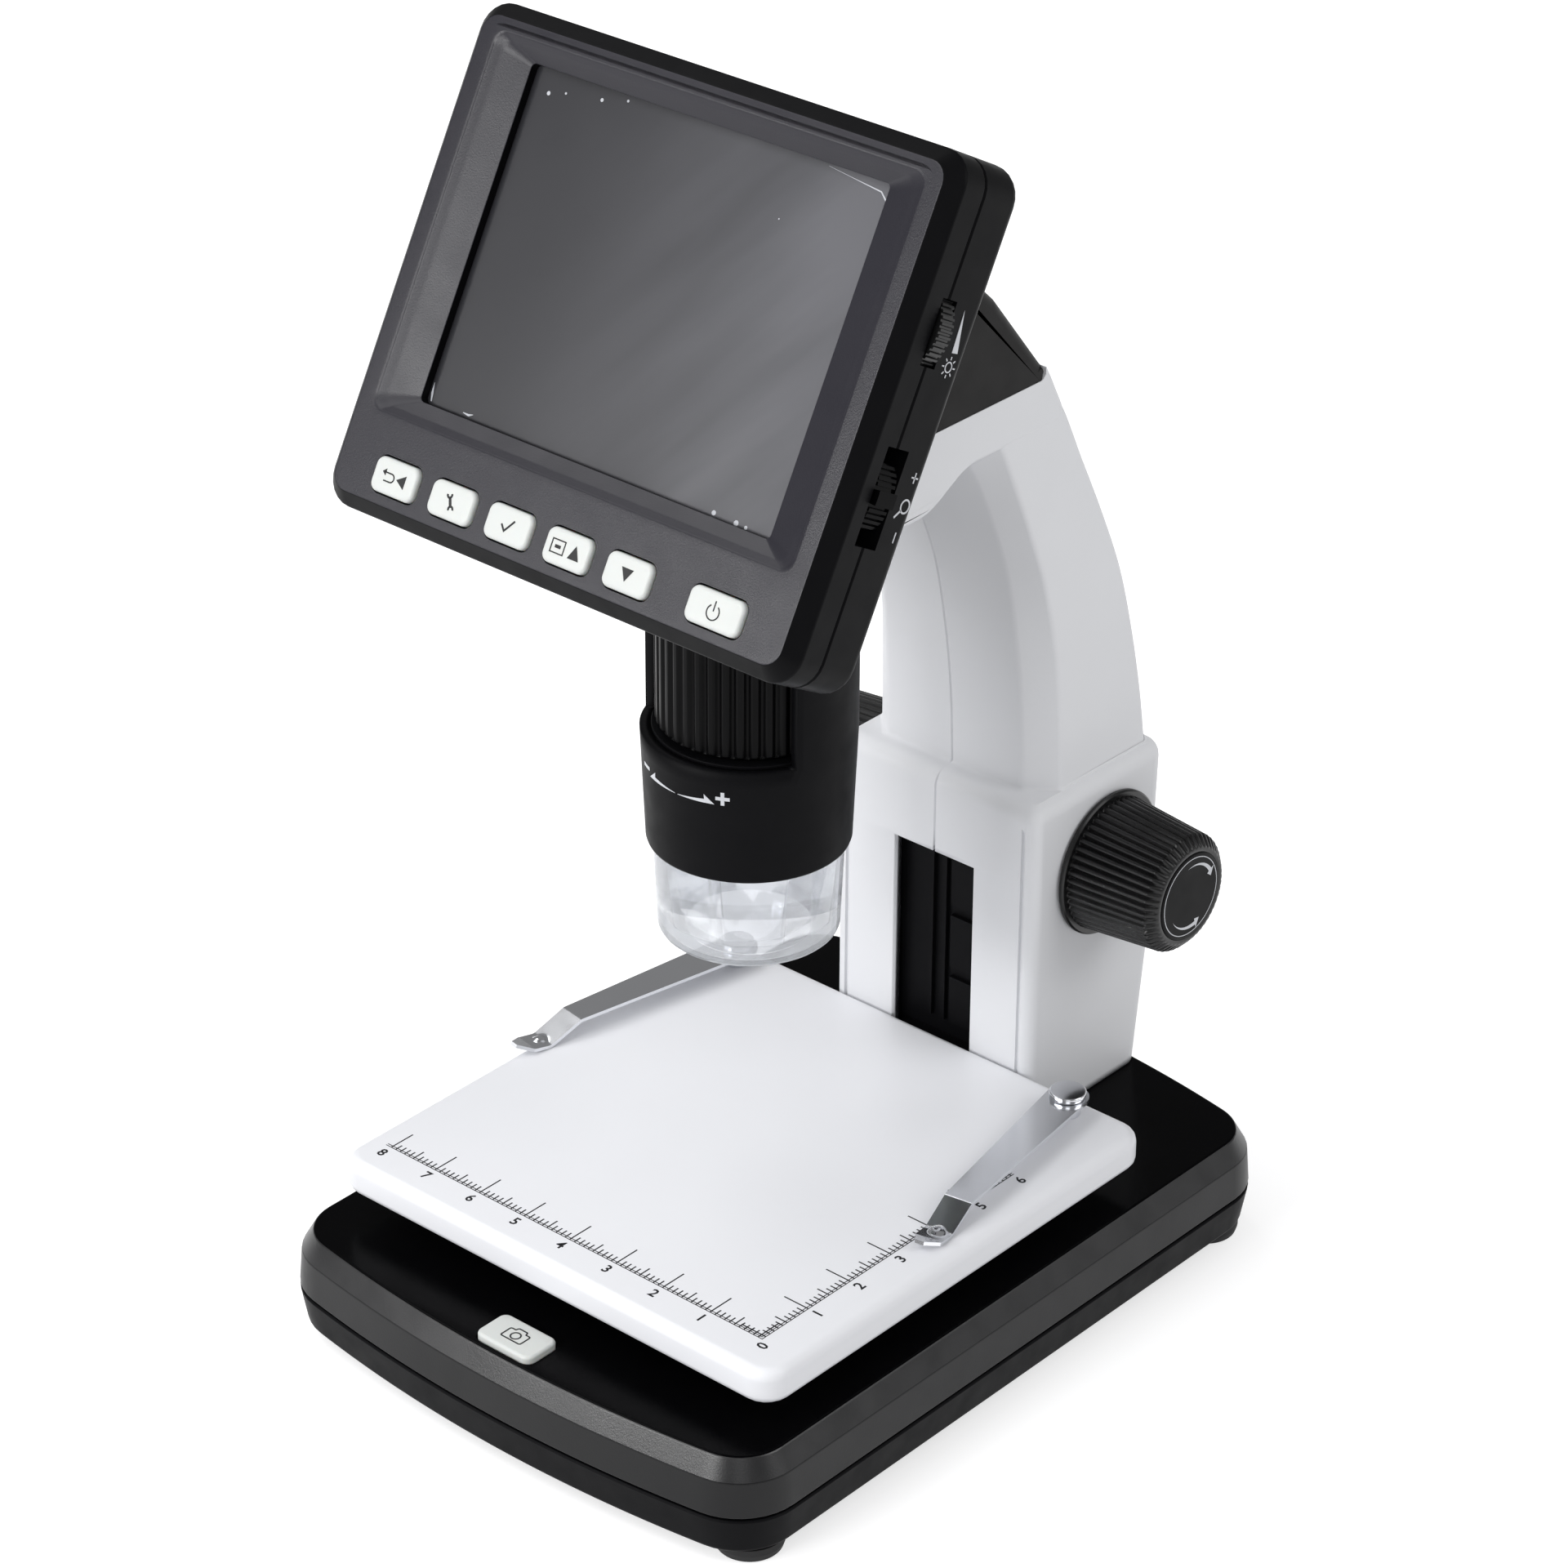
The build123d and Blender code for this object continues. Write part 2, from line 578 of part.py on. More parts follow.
BUSH_R = SHAFT_R + 2.0
BUSH_FLANGE_R = BUSH_R + 1.5
shell = body - hollow - window
for guide in guides:
    shell += guide
shell -= xcyl(BUSH_R, -COL_HALF_W - 1, COL_HALF_W + 1, DRIVE_Y, DRIVE_Z)
shell -= xcyl(BUSH_FLANGE_R + 0.5, -inner_half, inner_half, DRIVE_Y, DRIVE_Z)
for x, y in COLUMN_SCREWS:
    post_x = sorted((x - x / abs(x) * BOSS_R, x / abs(x) * (inner_half + COL_WALL / 2)))
    shell += box(post_x, (y - BOSS_R, y + BOSS_R), (BASE_TOP, BASE_TOP + COL_SCREW_BITE + 2 * SCREW_CLEAR))
    shell -= cyl(SCREW_R, BASE_TOP - 1, BASE_TOP + COL_SCREW_BITE + SCREW_CLEAR, x, y)
shell_screws = []
for y, z, side in SHELL_SCREWS:
    shell += xcyl(SHELL_BOSS_R, -side + COL_WALL / 2, side - COL_WALL / 2, y, z)
    shell -= xcyl(SCREW_HEAD_R + 0.2, -side - 1, -SHELL_POCKET_T, y, z)
    shell -= xcyl(SCREW_R, -SHELL_POCKET_T - 1, SHELL_SCREW_GRIP, y, z)
    shell_screw = screw(SHELL_POCKET_T + SHELL_SCREW_GRIP - SCREW_CLEAR)
    shell_screws.append(Pos(-SHELL_POCKET_T, y, z) * Rot(0, 90, 0) * shell_screw)
left_shell, right_shell = halves(shell)
save("column_left_shell", left_shell)
save("column_right_shell", right_shell)
column_seat = BASE_TOP - WALL
save("column_screws", *[Pos(x, y, column_seat) * screw(WALL + COL_SCREW_BITE) for x, y in COLUMN_SCREWS])
save("shell_screws", *shell_screws)

bush = xcyl(BUSH_R, inner_half, COL_HALF_W, 0, 0) + xcyl(BUSH_FLANGE_R, inner_half - 1.2, inner_half, 0, 0)
bush -= xcyl(SHAFT_R + RUN, inner_half - 3, COL_HALF_W + 1, 0, 0)
bush = Pos(0, DRIVE_Y, DRIVE_Z) * bush
save("shaft_bushes", bush, mirror(bush, about=Plane.YZ))


# ---------------------------------------------------------------- stage
stage_under = STAGE_TOP - STAGE_T
stage_mid_y = (STAGE_FRONT + STAGE_REAR) / 2
plate = Pos(0, stage_mid_y, stage_under) * extrude(
    RectangleRounded(2 * STAGE_HALF_W, STAGE_REAR - STAGE_FRONT, STAGE_CORNER_R), amount=STAGE_T)
plate = fillet(plate.edges().group_by(Axis.Z)[-1], STAGE_EDGE_R)
plate = fillet(plate.edges().group_by(Axis.Z)[0], STAGE_EDGE_R / 2)
tongue_top = stage_under + TONGUE_T
plate -= box((-TONGUE_HALF_W - SLIDE_GAP, TONGUE_HALF_W + SLIDE_GAP), (TONGUE_Y - SLIDE_GAP, STAGE_REAR + 1),
             (stage_under - 1, tongue_top))
STAGE_SCREWS = [(0, TONGUE_Y + 5), (0, TONGUE_Y + 14)]
for x, y in STAGE_SCREWS:
    plate -= cyl(SCREW_R, tongue_top - 1, STAGE_TOP - 0.8, x, y)
for x, y in (CLIP_POST_LEFT, CLIP_POST_RIGHT):
    plate -= cyl(POST_PIN_R, stage_under - 1, STAGE_TOP + 1, x, y)
save("stage_plate", plate)

carriage_half = inner_half - SLIDE_GAP
carriage_top = SHOULDER_Z - SHOULDER_R - STAGE_UP - SLIDE_GAP
rack_pitch = pi * GEAR_MODULE
pitch_r = GEAR_MODULE * GEAR_TEETH / 2
rack_pitch_y = DRIVE_Y - pitch_r
rack_root_y = rack_pitch_y - 1.25 * GEAR_MODULE
rack_back_y = rack_root_y - 2.6
carriage = box((-carriage_half, carriage_half), (carriage_front, carriage_rear), (stage_under, carriage_top))
carriage += box((-GEAR_W / 2 - 1, GEAR_W / 2 + 1), (carriage_rear, rack_back_y), (stage_under, carriage_top))
carriage += box((-TONGUE_HALF_W, TONGUE_HALF_W), (TONGUE_Y, carriage_front), (stage_under, tongue_top))
# raised panels and ribs that show in the window
panel_y = (carriage_front - CARRIAGE_GAP + SLIDE_GAP, carriage_front)
for z0, z1 in ((STAGE_TOP + 1, STAGE_TOP + 10), (STAGE_TOP + 12, STAGE_TOP + 22),
               (STAGE_TOP + 24, carriage_top - 1)):
    carriage += box((2.2, WINDOW_HALF_W - 1), panel_y, (z0, z1))
for x in (-2.4, 0.4):
    carriage += box((x, x + 0.8), panel_y, (STAGE_TOP + 1, carriage_top - 1))
for x, y in STAGE_SCREWS:
    carriage -= cyl(SCREW_HEAD_R + 0.2, stage_under - 1, stage_under + SCREW_HEAD_T, x, y)
    carriage -= cyl(SCREW_R + 0.2, stage_under, tongue_top + 1, x, y)
save("stage_carriage", carriage)
stage_screw_l = STAGE_TOP - 0.8 - stage_under - SCREW_HEAD_T
stage_screw_seat = stage_under + SCREW_HEAD_T
save("stage_screws", *[Pos(x, y, stage_screw_seat) * screw(stage_screw_l - 0.2) for x, y in STAGE_SCREWS])

# rack: straight-sided teeth, a space level with the pinion axis at rest
PRESSURE = radians(20.0)
rack_low = DRIVE_Z - STAGE_UP - 2 * rack_pitch
rack_high = DRIVE_Z + STAGE_DOWN + 2 * rack_pitch
rack_addendum = 0.9 * GEAR_MODULE
tooth_half = rack_pitch / 4 - TOOTH_SLACK
count_low = int((DRIVE_Z - rack_low) / rack_pitch)
count_high = int((rack_high - DRIVE_Z) / rack_pitch)
rack_points = [(rack_back_y, rack_low), (rack_root_y, rack_low)]
for k in range(-count_low, count_high):
    centre = DRIVE_Z + (k + 0.5) * rack_pitch
    root = tooth_half + (rack_pitch_y - rack_root_y) * tan(PRESSURE)
    tip = tooth_half - rack_addendum * tan(PRESSURE)
    rack_points += [(rack_root_y, centre - root), (rack_pitch_y + rack_addendum, centre - tip),
                    (rack_pitch_y + rack_addendum, centre + tip), (rack_root_y, centre + root)]
rack_points += [(rack_root_y, rack_high), (rack_back_y, rack_high)]
save("stage_rack", side_prism(make_face(Polyline(*rack_points, close=True)), GEAR_W / 2))


def clip_post():
    """Turned post with its foot on the stage: neck, pin for the strip, and head."""
    neck_top = STAGE_TOP + CLIP_RISE
    pin_top = neck_top + CLIP_T + RUN
    head = chamfer(cyl(POST_HEAD_R, pin_top, pin_top + POST_HEAD_T).edges().group_by(Axis.Z)[-1], POST_EDGE)
    return cyl(POST_PIN_R, stage_under, pin_top) + cyl(POST_NECK_R, STAGE_TOP, neck_top - RUN) + head


def clip_strip(side):
    """Spring strip in its place, with the round end on its post and the foot on the stage."""
    z = STAGE_TOP + CLIP_RISE + CLIP_T / 2
    foot_z = STAGE_TOP + RUN + CLIP_T / 2
    path = FilletPolyline((CLIP_W / 2, z), (-CLIP_BEND_START, z), (-CLIP_BEND_END, foot_z),
                          (-CLIP_FOOT_END, foot_z), (-CLIP_TIP, foot_z + CLIP_TIP_RISE), radius=1.2)
    strip = side_prism(trace(path, CLIP_T), CLIP_W / 2)
    plan = RectangleRounded(CLIP_W, CLIP_TIP + CLIP_W / 2, CLIP_W / 2 - 0.01)
    strip &= Pos(0, (CLIP_W / 2 - CLIP_TIP) / 2, STAGE_TOP) * extrude(plan, amount=2 * CLIP_RISE)
    strip -= cyl(POST_PIN_R + RUN, STAGE_TOP, STAGE_TOP + 2 * CLIP_RISE)
    return Rot(0, 0, side * CLIP_SWING) * strip


for name, side, (x, y) in (("right", 1, CLIP_POST_RIGHT), ("left", -1, CLIP_POST_LEFT)):
    save("clip_post_" + name, Pos(x, y, 0) * clip_post())
    save("clip_" + name, Pos(x, y, 0) * clip_strip(side))

# ---------------------------------------------------------------- focus drive
def pinion_outline():
    """Involute teeth, thinned by the tooth slack, one tooth pointing along -y."""
    base_r = pitch_r * cos(PRESSURE)
    root_r = pitch_r - 1.25 * GEAR_MODULE
    tip_r = pitch_r + GEAR_MODULE
    half_pitch = pi / (2 * GEAR_TEETH) - TOOTH_SLACK / pitch_r + tan(PRESSURE) - PRESSURE
    flank = []
    for r in (base_r, base_r + (tip_r - base_r) * 0.3, base_r + (tip_r - base_r) * 0.65, tip_r):
        roll = acos(base_r / r)
        flank.append((r, half_pitch - tan(roll) + roll))
    flank = [(root_r, flank[0][1])] + flank
    points = []
    for k in range(GEAR_TEETH):
        centre = -pi / 2 + 2 * pi * k / GEAR_TEETH
        for r, half in flank:
            points.append((r * cos(centre - half), r * sin(centre - half)))
        for r, half in reversed(flank):
            points.append((r * cos(centre + half), r * sin(centre + half)))
    return make_face(Polyline(*points, close=True))


drive_axis = Pos(0, DRIVE_Y, DRIVE_Z)
shaft_end = KNOB_FACE_X - 3.0
save("focus_shaft", drive_axis * xcyl(SHAFT_R, -shaft_end, shaft_end, 0, 0))
pinion = side_prism(pinion_outline(), GEAR_W / 2) - xcyl(SHAFT_R, -GEAR_W, GEAR_W, 0, 0)
save("drive_pinion", drive_axis * pinion)

flange_x = COL_HALF_W + KNOB_GAP
grip_l = KNOB_FACE_X - KNOB_BEVEL - flange_x - FLANGE_T

knob = cyl(FLANGE_R, 0, FLANGE_T)
knob += Pos(0, 0, FLANGE_T) * ribbed_prism(KNOB_R_IN, KNOB_R_OUT, RIB_H, KNOB_RIBS, grip_l)
rim_z = FLANGE_T + grip_l
knob += Pos(0, 0, rim_z + KNOB_BEVEL / 2) * Cone(KNOB_R_OUT - RIB_H, CAP_R + 0.9, KNOB_BEVEL)
knob -= cyl(CAP_R, rim_z + KNOB_BEVEL - CAP_T + 0.15, rim_z + KNOB_BEVEL + 1)
knob -= cyl(SHAFT_R, -1, shaft_end - flange_x)
cap = cyl(CAP_R - 0.1, rim_z + KNOB_BEVEL - CAP_T + 0.15, rim_z + KNOB_BEVEL + 0.1)
for name, side in (("right", 1), ("left", -1)):
    seat = drive_axis * Pos(side * flange_x, 0, 0) * Rot(0, 90 * side, 0)
    save("knob_" + name, seat * knob)
    save("knob_cap_" + name, seat * cap)


# ---------------------------------------------------------------- lens unit
hood_shelf = HOOD_LIP + 0.55
bezel_step = CUP_TOP + 2.0
hood_profile = [
    (HOOD_R_LOW - HOOD_EDGE_R, HOOD_BOTTOM), (HOOD_R_LOW, HOOD_BOTTOM + HOOD_EDGE_R), (HOOD_R, HOOD_LIP),
    (HOOD_R, HEAD_BOTTOM), (HOOD_R - HOOD_T, HEAD_BOTTOM), (HOOD_R - HOOD_T, hood_shelf),
    (BARREL_R, hood_shelf), (BARREL_R, hood_shelf - HOOD_SHELF_T),
    (HOOD_R_LOW - HOOD_T, hood_shelf - HOOD_SHELF_T),
    (HOOD_R_LOW - HOOD_T, bezel_step), (CUP_R_TOP + RUN, bezel_step), (CUP_R_TOP + RUN, HOOD_BOTTOM)]
hood = turned(hood_profile, LENS_Y)
cut_sector = Pos(0, LENS_Y, 0) * (
    Rot(0, 0, -90 - HOOD_CUT_HALF) * extrude(
        make_face([Line((0, 0), (30, 0)), CenterArc((0, 0), 30, 0, 2 * HOOD_CUT_HALF),
                   Line((0, 0), (30 * cos(radians(2 * HOOD_CUT_HALF)), 30 * sin(radians(2 * HOOD_CUT_HALF))))]),
        amount=HOOD_CUT_TOP - HOOD_LIP))
cut_sector = Pos(0, 0, HOOD_LIP) * (cut_sector - cyl(HOOD_R - HOOD_T - 0.01, -1, HOOD_CUT_TOP, 0, LENS_Y))
save("lens_hood", hood - cut_sector)

led_board_z = CUP_TOP
led_board = cyl(CUP_R_TOP, led_board_z, led_board_z + 1.2, 0, LENS_Y) - cyl(LENS_R + 0.8, 0, 200, 0, LENS_Y)
save("led_ring_board", led_board)
leds = []
for k in range(LED_COUNT):
    a = 2 * pi * (k + 0.5) / LED_COUNT
    leds.append(Pos(LED_RADIUS * cos(a), LENS_Y + LED_RADIUS * sin(a), led_board_z - 0.4)
                * Rot(0, 0, degrees(a)) * Box(2.0, 2.8, 0.8))
save("ring_leds", *leds)

barrel_low = led_board_z + 1.2
barrel = cyl(BARREL_R, barrel_low, HEAD_BOTTOM, 0, LENS_Y) - cyl(BARREL_R - BARREL_T, 0, 200, 0, LENS_Y)
collar = cyl(HOOD_R - HOOD_T - 0.2, RING_TOP + 0.3, HEAD_BOTTOM, 0, LENS_Y)
collar -= cyl(BARREL_R - 0.5, 0, 200, 0, LENS_Y)
save("lens_barrel", barrel + collar)

cell_low = barrel_low + CELL_TRAVEL + 0.5
cell_r = BARREL_R - BARREL_T - RUN
cell = cyl(cell_r, cell_low, cell_low + CELL_H, 0, LENS_Y) - cyl(LENS_R, 0, 200, 0, LENS_Y)
save("lens_cell", cell)
lens = cyl(LENS_R, cell_low + 1, cell_low + 4, 0, LENS_Y)
save("objective_lens", chamfer(lens.edges(), LENS_EDGE))

ring_low = hood_shelf + RING_GAP
ring = Pos(0, LENS_Y, ring_low) * ribbed_prism(RING_R, RING_R, RING_RIB_H, RING_RIBS, RING_TOP - ring_low)
ring -= cyl(BARREL_R + RUN, 0, 200, 0, LENS_Y)
save("focus_ring", ring)

sensor_z = HEAD_BOTTOM + WALL
def sensor_square(w, z0, z1):
    """Square plate on the lens axis between two heights."""
    return box((-w / 2, w / 2), (LENS_Y - w / 2, LENS_Y + w / 2), (z0, z1))


sensor_board = sensor_square(SENSOR_BOARD_W, sensor_z, sensor_z + BOARD_T)
save("sensor_board", sensor_board - sensor_square(SENSOR_W, sensor_z - 1, sensor_z + BOARD_T / 2))
save("image_sensor", sensor_square(SENSOR_W, sensor_z + BOARD_T / 4, sensor_z + BOARD_T / 2))

# clear light cup: round outside, eight-sided inside, with a round mouth at the bottom
cup_top_in = CUP_R_TOP - CUP_T
cup = turned([(0, CUP_BOTTOM), (CUP_R_LOW, CUP_BOTTOM), (CUP_R_TOP, HOOD_BOTTOM),
              (CUP_R_TOP, CUP_TOP), (0, CUP_TOP)],
             LENS_Y)
cup = fillet(cup.edges().filter_by(GeomType.CIRCLE).sort_by(Axis.Z)[0], CUP_EDGE_R)
facets_z = (CUP_BOTTOM + 2.5, HOOD_BOTTOM - 1.0)
cup_inner = loft([Pos(0, LENS_Y, z) * RegularPolygon(apothem, 8, major_radius=False, rotation=22.5)
                  for z, apothem in zip(facets_z, (CUP_OPENING_R, cup_top_in - 0.9))],
                 ruled=True)
cup -= cup_inner + cyl(cup_top_in - 0.9, facets_z[1] - 0.01, CUP_TOP + 1, 0, LENS_Y)
cup -= cyl(CUP_OPENING_R, CUP_BOTTOM - 1, facets_z[0] + 0.5, 0, LENS_Y)
save("light_cup", cup)

# ---------------------------------------------------------------- display
case_w = FACE_W + 2 * FACE_BEVEL_W
case_h = FACE_H + 2 * FACE_BEVEL_W
case_mid_v = FACE_H / 2
side_u = case_w / 2


def slab(w, v0, v1, d0, d1, r=0.0, u=0.0):
    """Block in the display frame: width, span up the face, depth span, corner radius."""
    plan = RectangleRounded(w, v1 - v0, r) if r else Rectangle(w, v1 - v0)
    return Pos(u, (v0 + v1) / 2, -d1) * extrude(plan, amount=d1 - d0)


def case_block(inset, d0, d1):
    """Case outline set in by a wall, between two depths."""
    return slab(case_w - 2 * inset, case_mid_v - case_h / 2 + inset, case_mid_v + case_h / 2 - inset, d0, d1,
                CASE_CORNER_R - inset)


def funnel(w0, v0, d0, w1, v1, d1):
    """Four-sided funnel between two rectangles at two depths."""
    near = Pos(0, (v0[0] + v0[1]) / 2, -d0) * Rectangle(w0, v0[1] - v0[0])
    far = Pos(0, (v1[0] + v1[1]) / 2, -d1) * Rectangle(w1, v1[1] - v1[0])
    return loft([near, far], ruled=True)


def placed(shape):
    """Move a shape from the display frame into the model."""
    return SCREEN.location * shape


def widened(span, by):
    return (span[0] - by, span[1] + by)


glass_d = RECESS_DEPTH + WINDOW_STEP
bezel = case_block(0, 0, CASE_SEAM)
face_top = bezel.faces().sort_by(Axis.Z)[-1]
bezel = bezel.chamfer(FACE_BEVEL_W, FACE_BEVEL_D, list(face_top.edges()), face=face_top)
bezel -= case_block(WALL, WALL, CASE_SEAM + 1)
bezel += funnel(RECESS_W + WALL, widened(RECESS_V, WALL / 2), WALL / 2,
                WINDOW_W + 2 * GLASS_LAP + 1, widened(WINDOW_V, GLASS_LAP + 0.5), glass_d)
bezel -= funnel(RECESS_W, RECESS_V, 0, WINDOW_W, WINDOW_V, RECESS_DEPTH)
bezel -= slab(WINDOW_W, *WINDOW_V, RECESS_DEPTH - 0.01, glass_d + 1)

keys = {name: (u, KEY_W) for name, u in KEY_US.items()}
keys["power_key"] = (POWER_KEY_U, POWER_KEY_W)
for u, w in keys.values():
    bezel -= slab(w + 2 * KEY_GAP, KEY_V - KEY_H / 2 - KEY_GAP, KEY_V + KEY_H / 2 + KEY_GAP, -1, WALL + 1,
                  KEY_R + KEY_GAP, u)

flange_d = WALL + RUN
stem_d = flange_d + KEY_FLANGE + 0.85
SWITCH_T = 1.5
KEY_SWITCH_W = 4.5
KEY_SWITCH_H = 4.4
switch_d = stem_d + KEY_TRAVEL + RUN
key_board_d = switch_d + SWITCH_T
switches = []
for name, (u, w) in keys.items():
    key = slab(w, KEY_V - KEY_H / 2, KEY_V + KEY_H / 2, -KEY_RISE, flange_d, KEY_R, u)
    key = fillet(key.edges().group_by(Axis.Z)[-1], 0.45)
    key += slab(w + 1.2, KEY_V - KEY_H / 2 - 0.6, KEY_V + KEY_H / 2 + 0.6,
                flange_d, flange_d + KEY_FLANGE, KEY_R, u)
    key += slab(3.0, KEY_V - 1.5, KEY_V + 1.5, flange_d, stem_d, 0, u)
    save(name, placed(key))
    switch = slab(KEY_SWITCH_W, KEY_V - KEY_SWITCH_H / 2, KEY_V + KEY_SWITCH_H / 2,
                  switch_d, key_board_d, 0, u)
    switches.append(placed(switch))
save("key_switches", *switches)
inner_v = (case_mid_v - case_h / 2 + WALL, case_mid_v + case_h / 2 - WALL)
key_board_v = inner_v[0] + 2 * SLIDE_GAP
key_board = slab(2 * (POWER_KEY_U + POWER_KEY_W - 2), key_board_v, key_board_v + KEY_BOARD_H,
                 key_board_d, key_board_d + BOARD_T)
save("key_board", placed(key_board))

glass = slab(WINDOW_W + 2 * GLASS_LAP, *widened(WINDOW_V, GLASS_LAP), glass_d, glass_d + GLASS_T)
save("screen_window", placed(glass))
window_mid = (WINDOW_V[0] + WINDOW_V[1]) / 2
lcd_d = glass_d + GLASS_T
save("lcd_panel", placed(slab(LCD_W, window_mid - LCD_H / 2, window_mid + LCD_H / 2, lcd_d, lcd_d + LCD_T)))

# rear shell, with posts for the boards
main_d = 10.5
board_half = side_u - WALL - 0.9
rear_shell = case_block(0, CASE_SEAM, CASE_DEPTH)
rear_shell = fillet(rear_shell.faces().sort_by(Axis.Z)[0].edges(), CASE_REAR_R)
rear_shell -= case_block(WALL, CASE_SEAM - 1, CASE_DEPTH - WALL)
BOARD_POSTS = [(u, v) for u in (-40.0, 40.0) for v in (16.0, 70.0)]
for u, v in BOARD_POSTS:
    rear_shell += Pos(u, v, -(main_d + BOARD_T + CASE_DEPTH - WALL / 2) / 2) * Cylinder(
        2.5, CASE_DEPTH - WALL / 2 - main_d - BOARD_T)
for u in (-36.0, 26.0):
    rear_shell += Pos(u, inner_v[0] + 5.5, -(key_board_d + BOARD_T + CASE_DEPTH - WALL / 2) / 2) * Cylinder(
        2.5, CASE_DEPTH - WALL / 2 - key_board_d - BOARD_T)

main_board = slab(2 * board_half, inner_v[0] + MAIN_BOARD_LOW, inner_v[1] - MAIN_BOARD_GAP,
                  main_d, main_d + BOARD_T)
save("main_board", placed(main_board))
chips = [(0, 44, 14, 14, 1.2), (-22, 52, 10, 12, 1.0), (20, 30, 9, 9, 1.0), (-20, 28, 7, 10, 0.9)]
save("board_chips", *[placed(slab(w, v - h / 2, v + h / 2, main_d - t, main_d, 0, u))
                      for u, v, w, h, t in chips])

# brightness wheel on its potentiometer, edge through the right side
wheel_u = side_u + WHEEL_PROUD - WHEEL_R
wheel_span = (WHEEL_D - WHEEL_T / 2, WHEEL_D + WHEEL_T / 2)
wheel_slot = slab(2 * (WALL + 1), WHEEL_V - WHEEL_SLOT_L / 2, WHEEL_V + WHEEL_SLOT_L / 2,
                  wheel_span[0] - KEY_GAP, wheel_span[1] + KEY_GAP, 0, side_u)
wheel_slot += Pos(wheel_u, WHEEL_V, -WHEEL_D) * Cylinder(WHEEL_R + KEY_GAP, WHEEL_T + 2 * KEY_GAP)
wheel = Pos(wheel_u, WHEEL_V, -wheel_span[1]) * ribbed_prism(WHEEL_R, WHEEL_R, 0.35, WHEEL_RIBS, WHEEL_T)
wheel -= Pos(wheel_u, WHEEL_V, -WHEEL_D) * Cylinder(SIDE_PIN_R + RUN, 2 * WHEEL_T)
save("brightness_wheel", placed(wheel))
pot = slab(9, WHEEL_V - 4.5, WHEEL_V + 4.5, wheel_span[1] + SLIDE_GAP, main_d, 0, wheel_u)
pot += Pos(wheel_u, WHEEL_V, -(wheel_span[0] + main_d) / 2) * Cylinder(SIDE_PIN_R, main_d - wheel_span[0])
save("wheel_potentiometer", placed(pot))

# zoom rocker on its switch
zoom_u = side_u - KEY_GAP - ZOOM_R
zoom_span = (ZOOM_D - ZOOM_T / 2, ZOOM_D + ZOOM_T / 2)
zoom_slot = slab(2 * (WALL + 1), ZOOM_V - ZOOM_SLOT_L / 2, ZOOM_V + ZOOM_SLOT_L / 2,
                 ZOOM_D - ZOOM_SLOT_W / 2, ZOOM_D + ZOOM_SLOT_W / 2, 0, side_u)


def rim_point(r, angle):
    return (zoom_u + r * cos(radians(angle)), ZOOM_V + r * sin(radians(angle)))


def zoom_sector(r_in, r_out, half, d0, d1):
    """Part of a ring round the rocker's pivot, between two depths."""
    face = make_face([
        ThreePointArc(rim_point(r_out, -half), rim_point(r_out, 0), rim_point(r_out, half)),
        Line(rim_point(r_out, half), rim_point(r_in, half)),
        ThreePointArc(rim_point(r_in, half), rim_point(r_in, 0), rim_point(r_in, -half)),
        Line(rim_point(r_in, -half), rim_point(r_out, -half))])
    return Pos(0, 0, -d1) * extrude(face, amount=d1 - d0)


rocker = zoom_sector(ZOOM_R - ZOOM_RIM, ZOOM_R, ZOOM_HALF_ANGLE, *zoom_span)
rocker += zoom_sector(1.0, ZOOM_R - ZOOM_RIM + 0.5, 12.0, ZOOM_D - 0.9, ZOOM_D + 0.9)
rocker += Pos(zoom_u, ZOOM_V, -ZOOM_D) * Cylinder(3.0, 2.4)
rocker += zoom_sector(ZOOM_R - 0.5, ZOOM_R + ZOOM_NUB, 5.0, *zoom_span)
for angle in range(9, int(ZOOM_HALF_ANGLE), 4):
    for side in (-1, 1):
        tooth = slab(1.0, ZOOM_V - 0.25, ZOOM_V + 0.25, *zoom_span, 0, zoom_u + ZOOM_R)
        rocker += Pos(zoom_u, ZOOM_V, 0) * Rot(0, 0, side * angle) * Pos(-zoom_u, -ZOOM_V, 0) * tooth
rocker -= Pos(zoom_u, ZOOM_V, -ZOOM_D) * Cylinder(SIDE_PIN_R + RUN, 2 * ZOOM_T)
save("zoom_rocker", placed(rocker))
zoom_hub = (ZOOM_D - 1.2, ZOOM_D + 1.2)
zoom_switch = slab(8, ZOOM_V - 4, ZOOM_V + 4, zoom_hub[1] + SLIDE_GAP, main_d, 0, zoom_u)
zoom_switch += Pos(zoom_u, ZOOM_V, -(zoom_hub[0] + main_d) / 2) * Cylinder(SIDE_PIN_R, main_d - zoom_hub[0])
save("zoom_switch", placed(zoom_switch))

# sockets on the left side
usb_hole = slab(8, USB_V - USB_W / 2 - KEY_GAP, USB_V + USB_W / 2 + KEY_GAP,
                main_d - USB_T - KEY_GAP, main_d, 0, -side_u)
card_hole = slab(8, CARD_V - CARD_W / 2 - KEY_GAP, CARD_V + CARD_W / 2 + KEY_GAP,
                 main_d - CARD_T - KEY_GAP, main_d,
                 0, -side_u)
usb = slab(9, USB_V - USB_W / 2, USB_V + USB_W / 2, main_d - USB_T, main_d, 0, -side_u + 5)
usb -= slab(9, USB_V - USB_W / 2 + 0.4, USB_V + USB_W / 2 - 0.4,
            main_d - USB_T + 0.4, main_d - 0.4, 0, -side_u + 4)
save("usb_socket", placed(usb))
card = slab(14, CARD_V - CARD_W / 2, CARD_V + CARD_W / 2, main_d - CARD_T, main_d, 0, -side_u + 7.5)
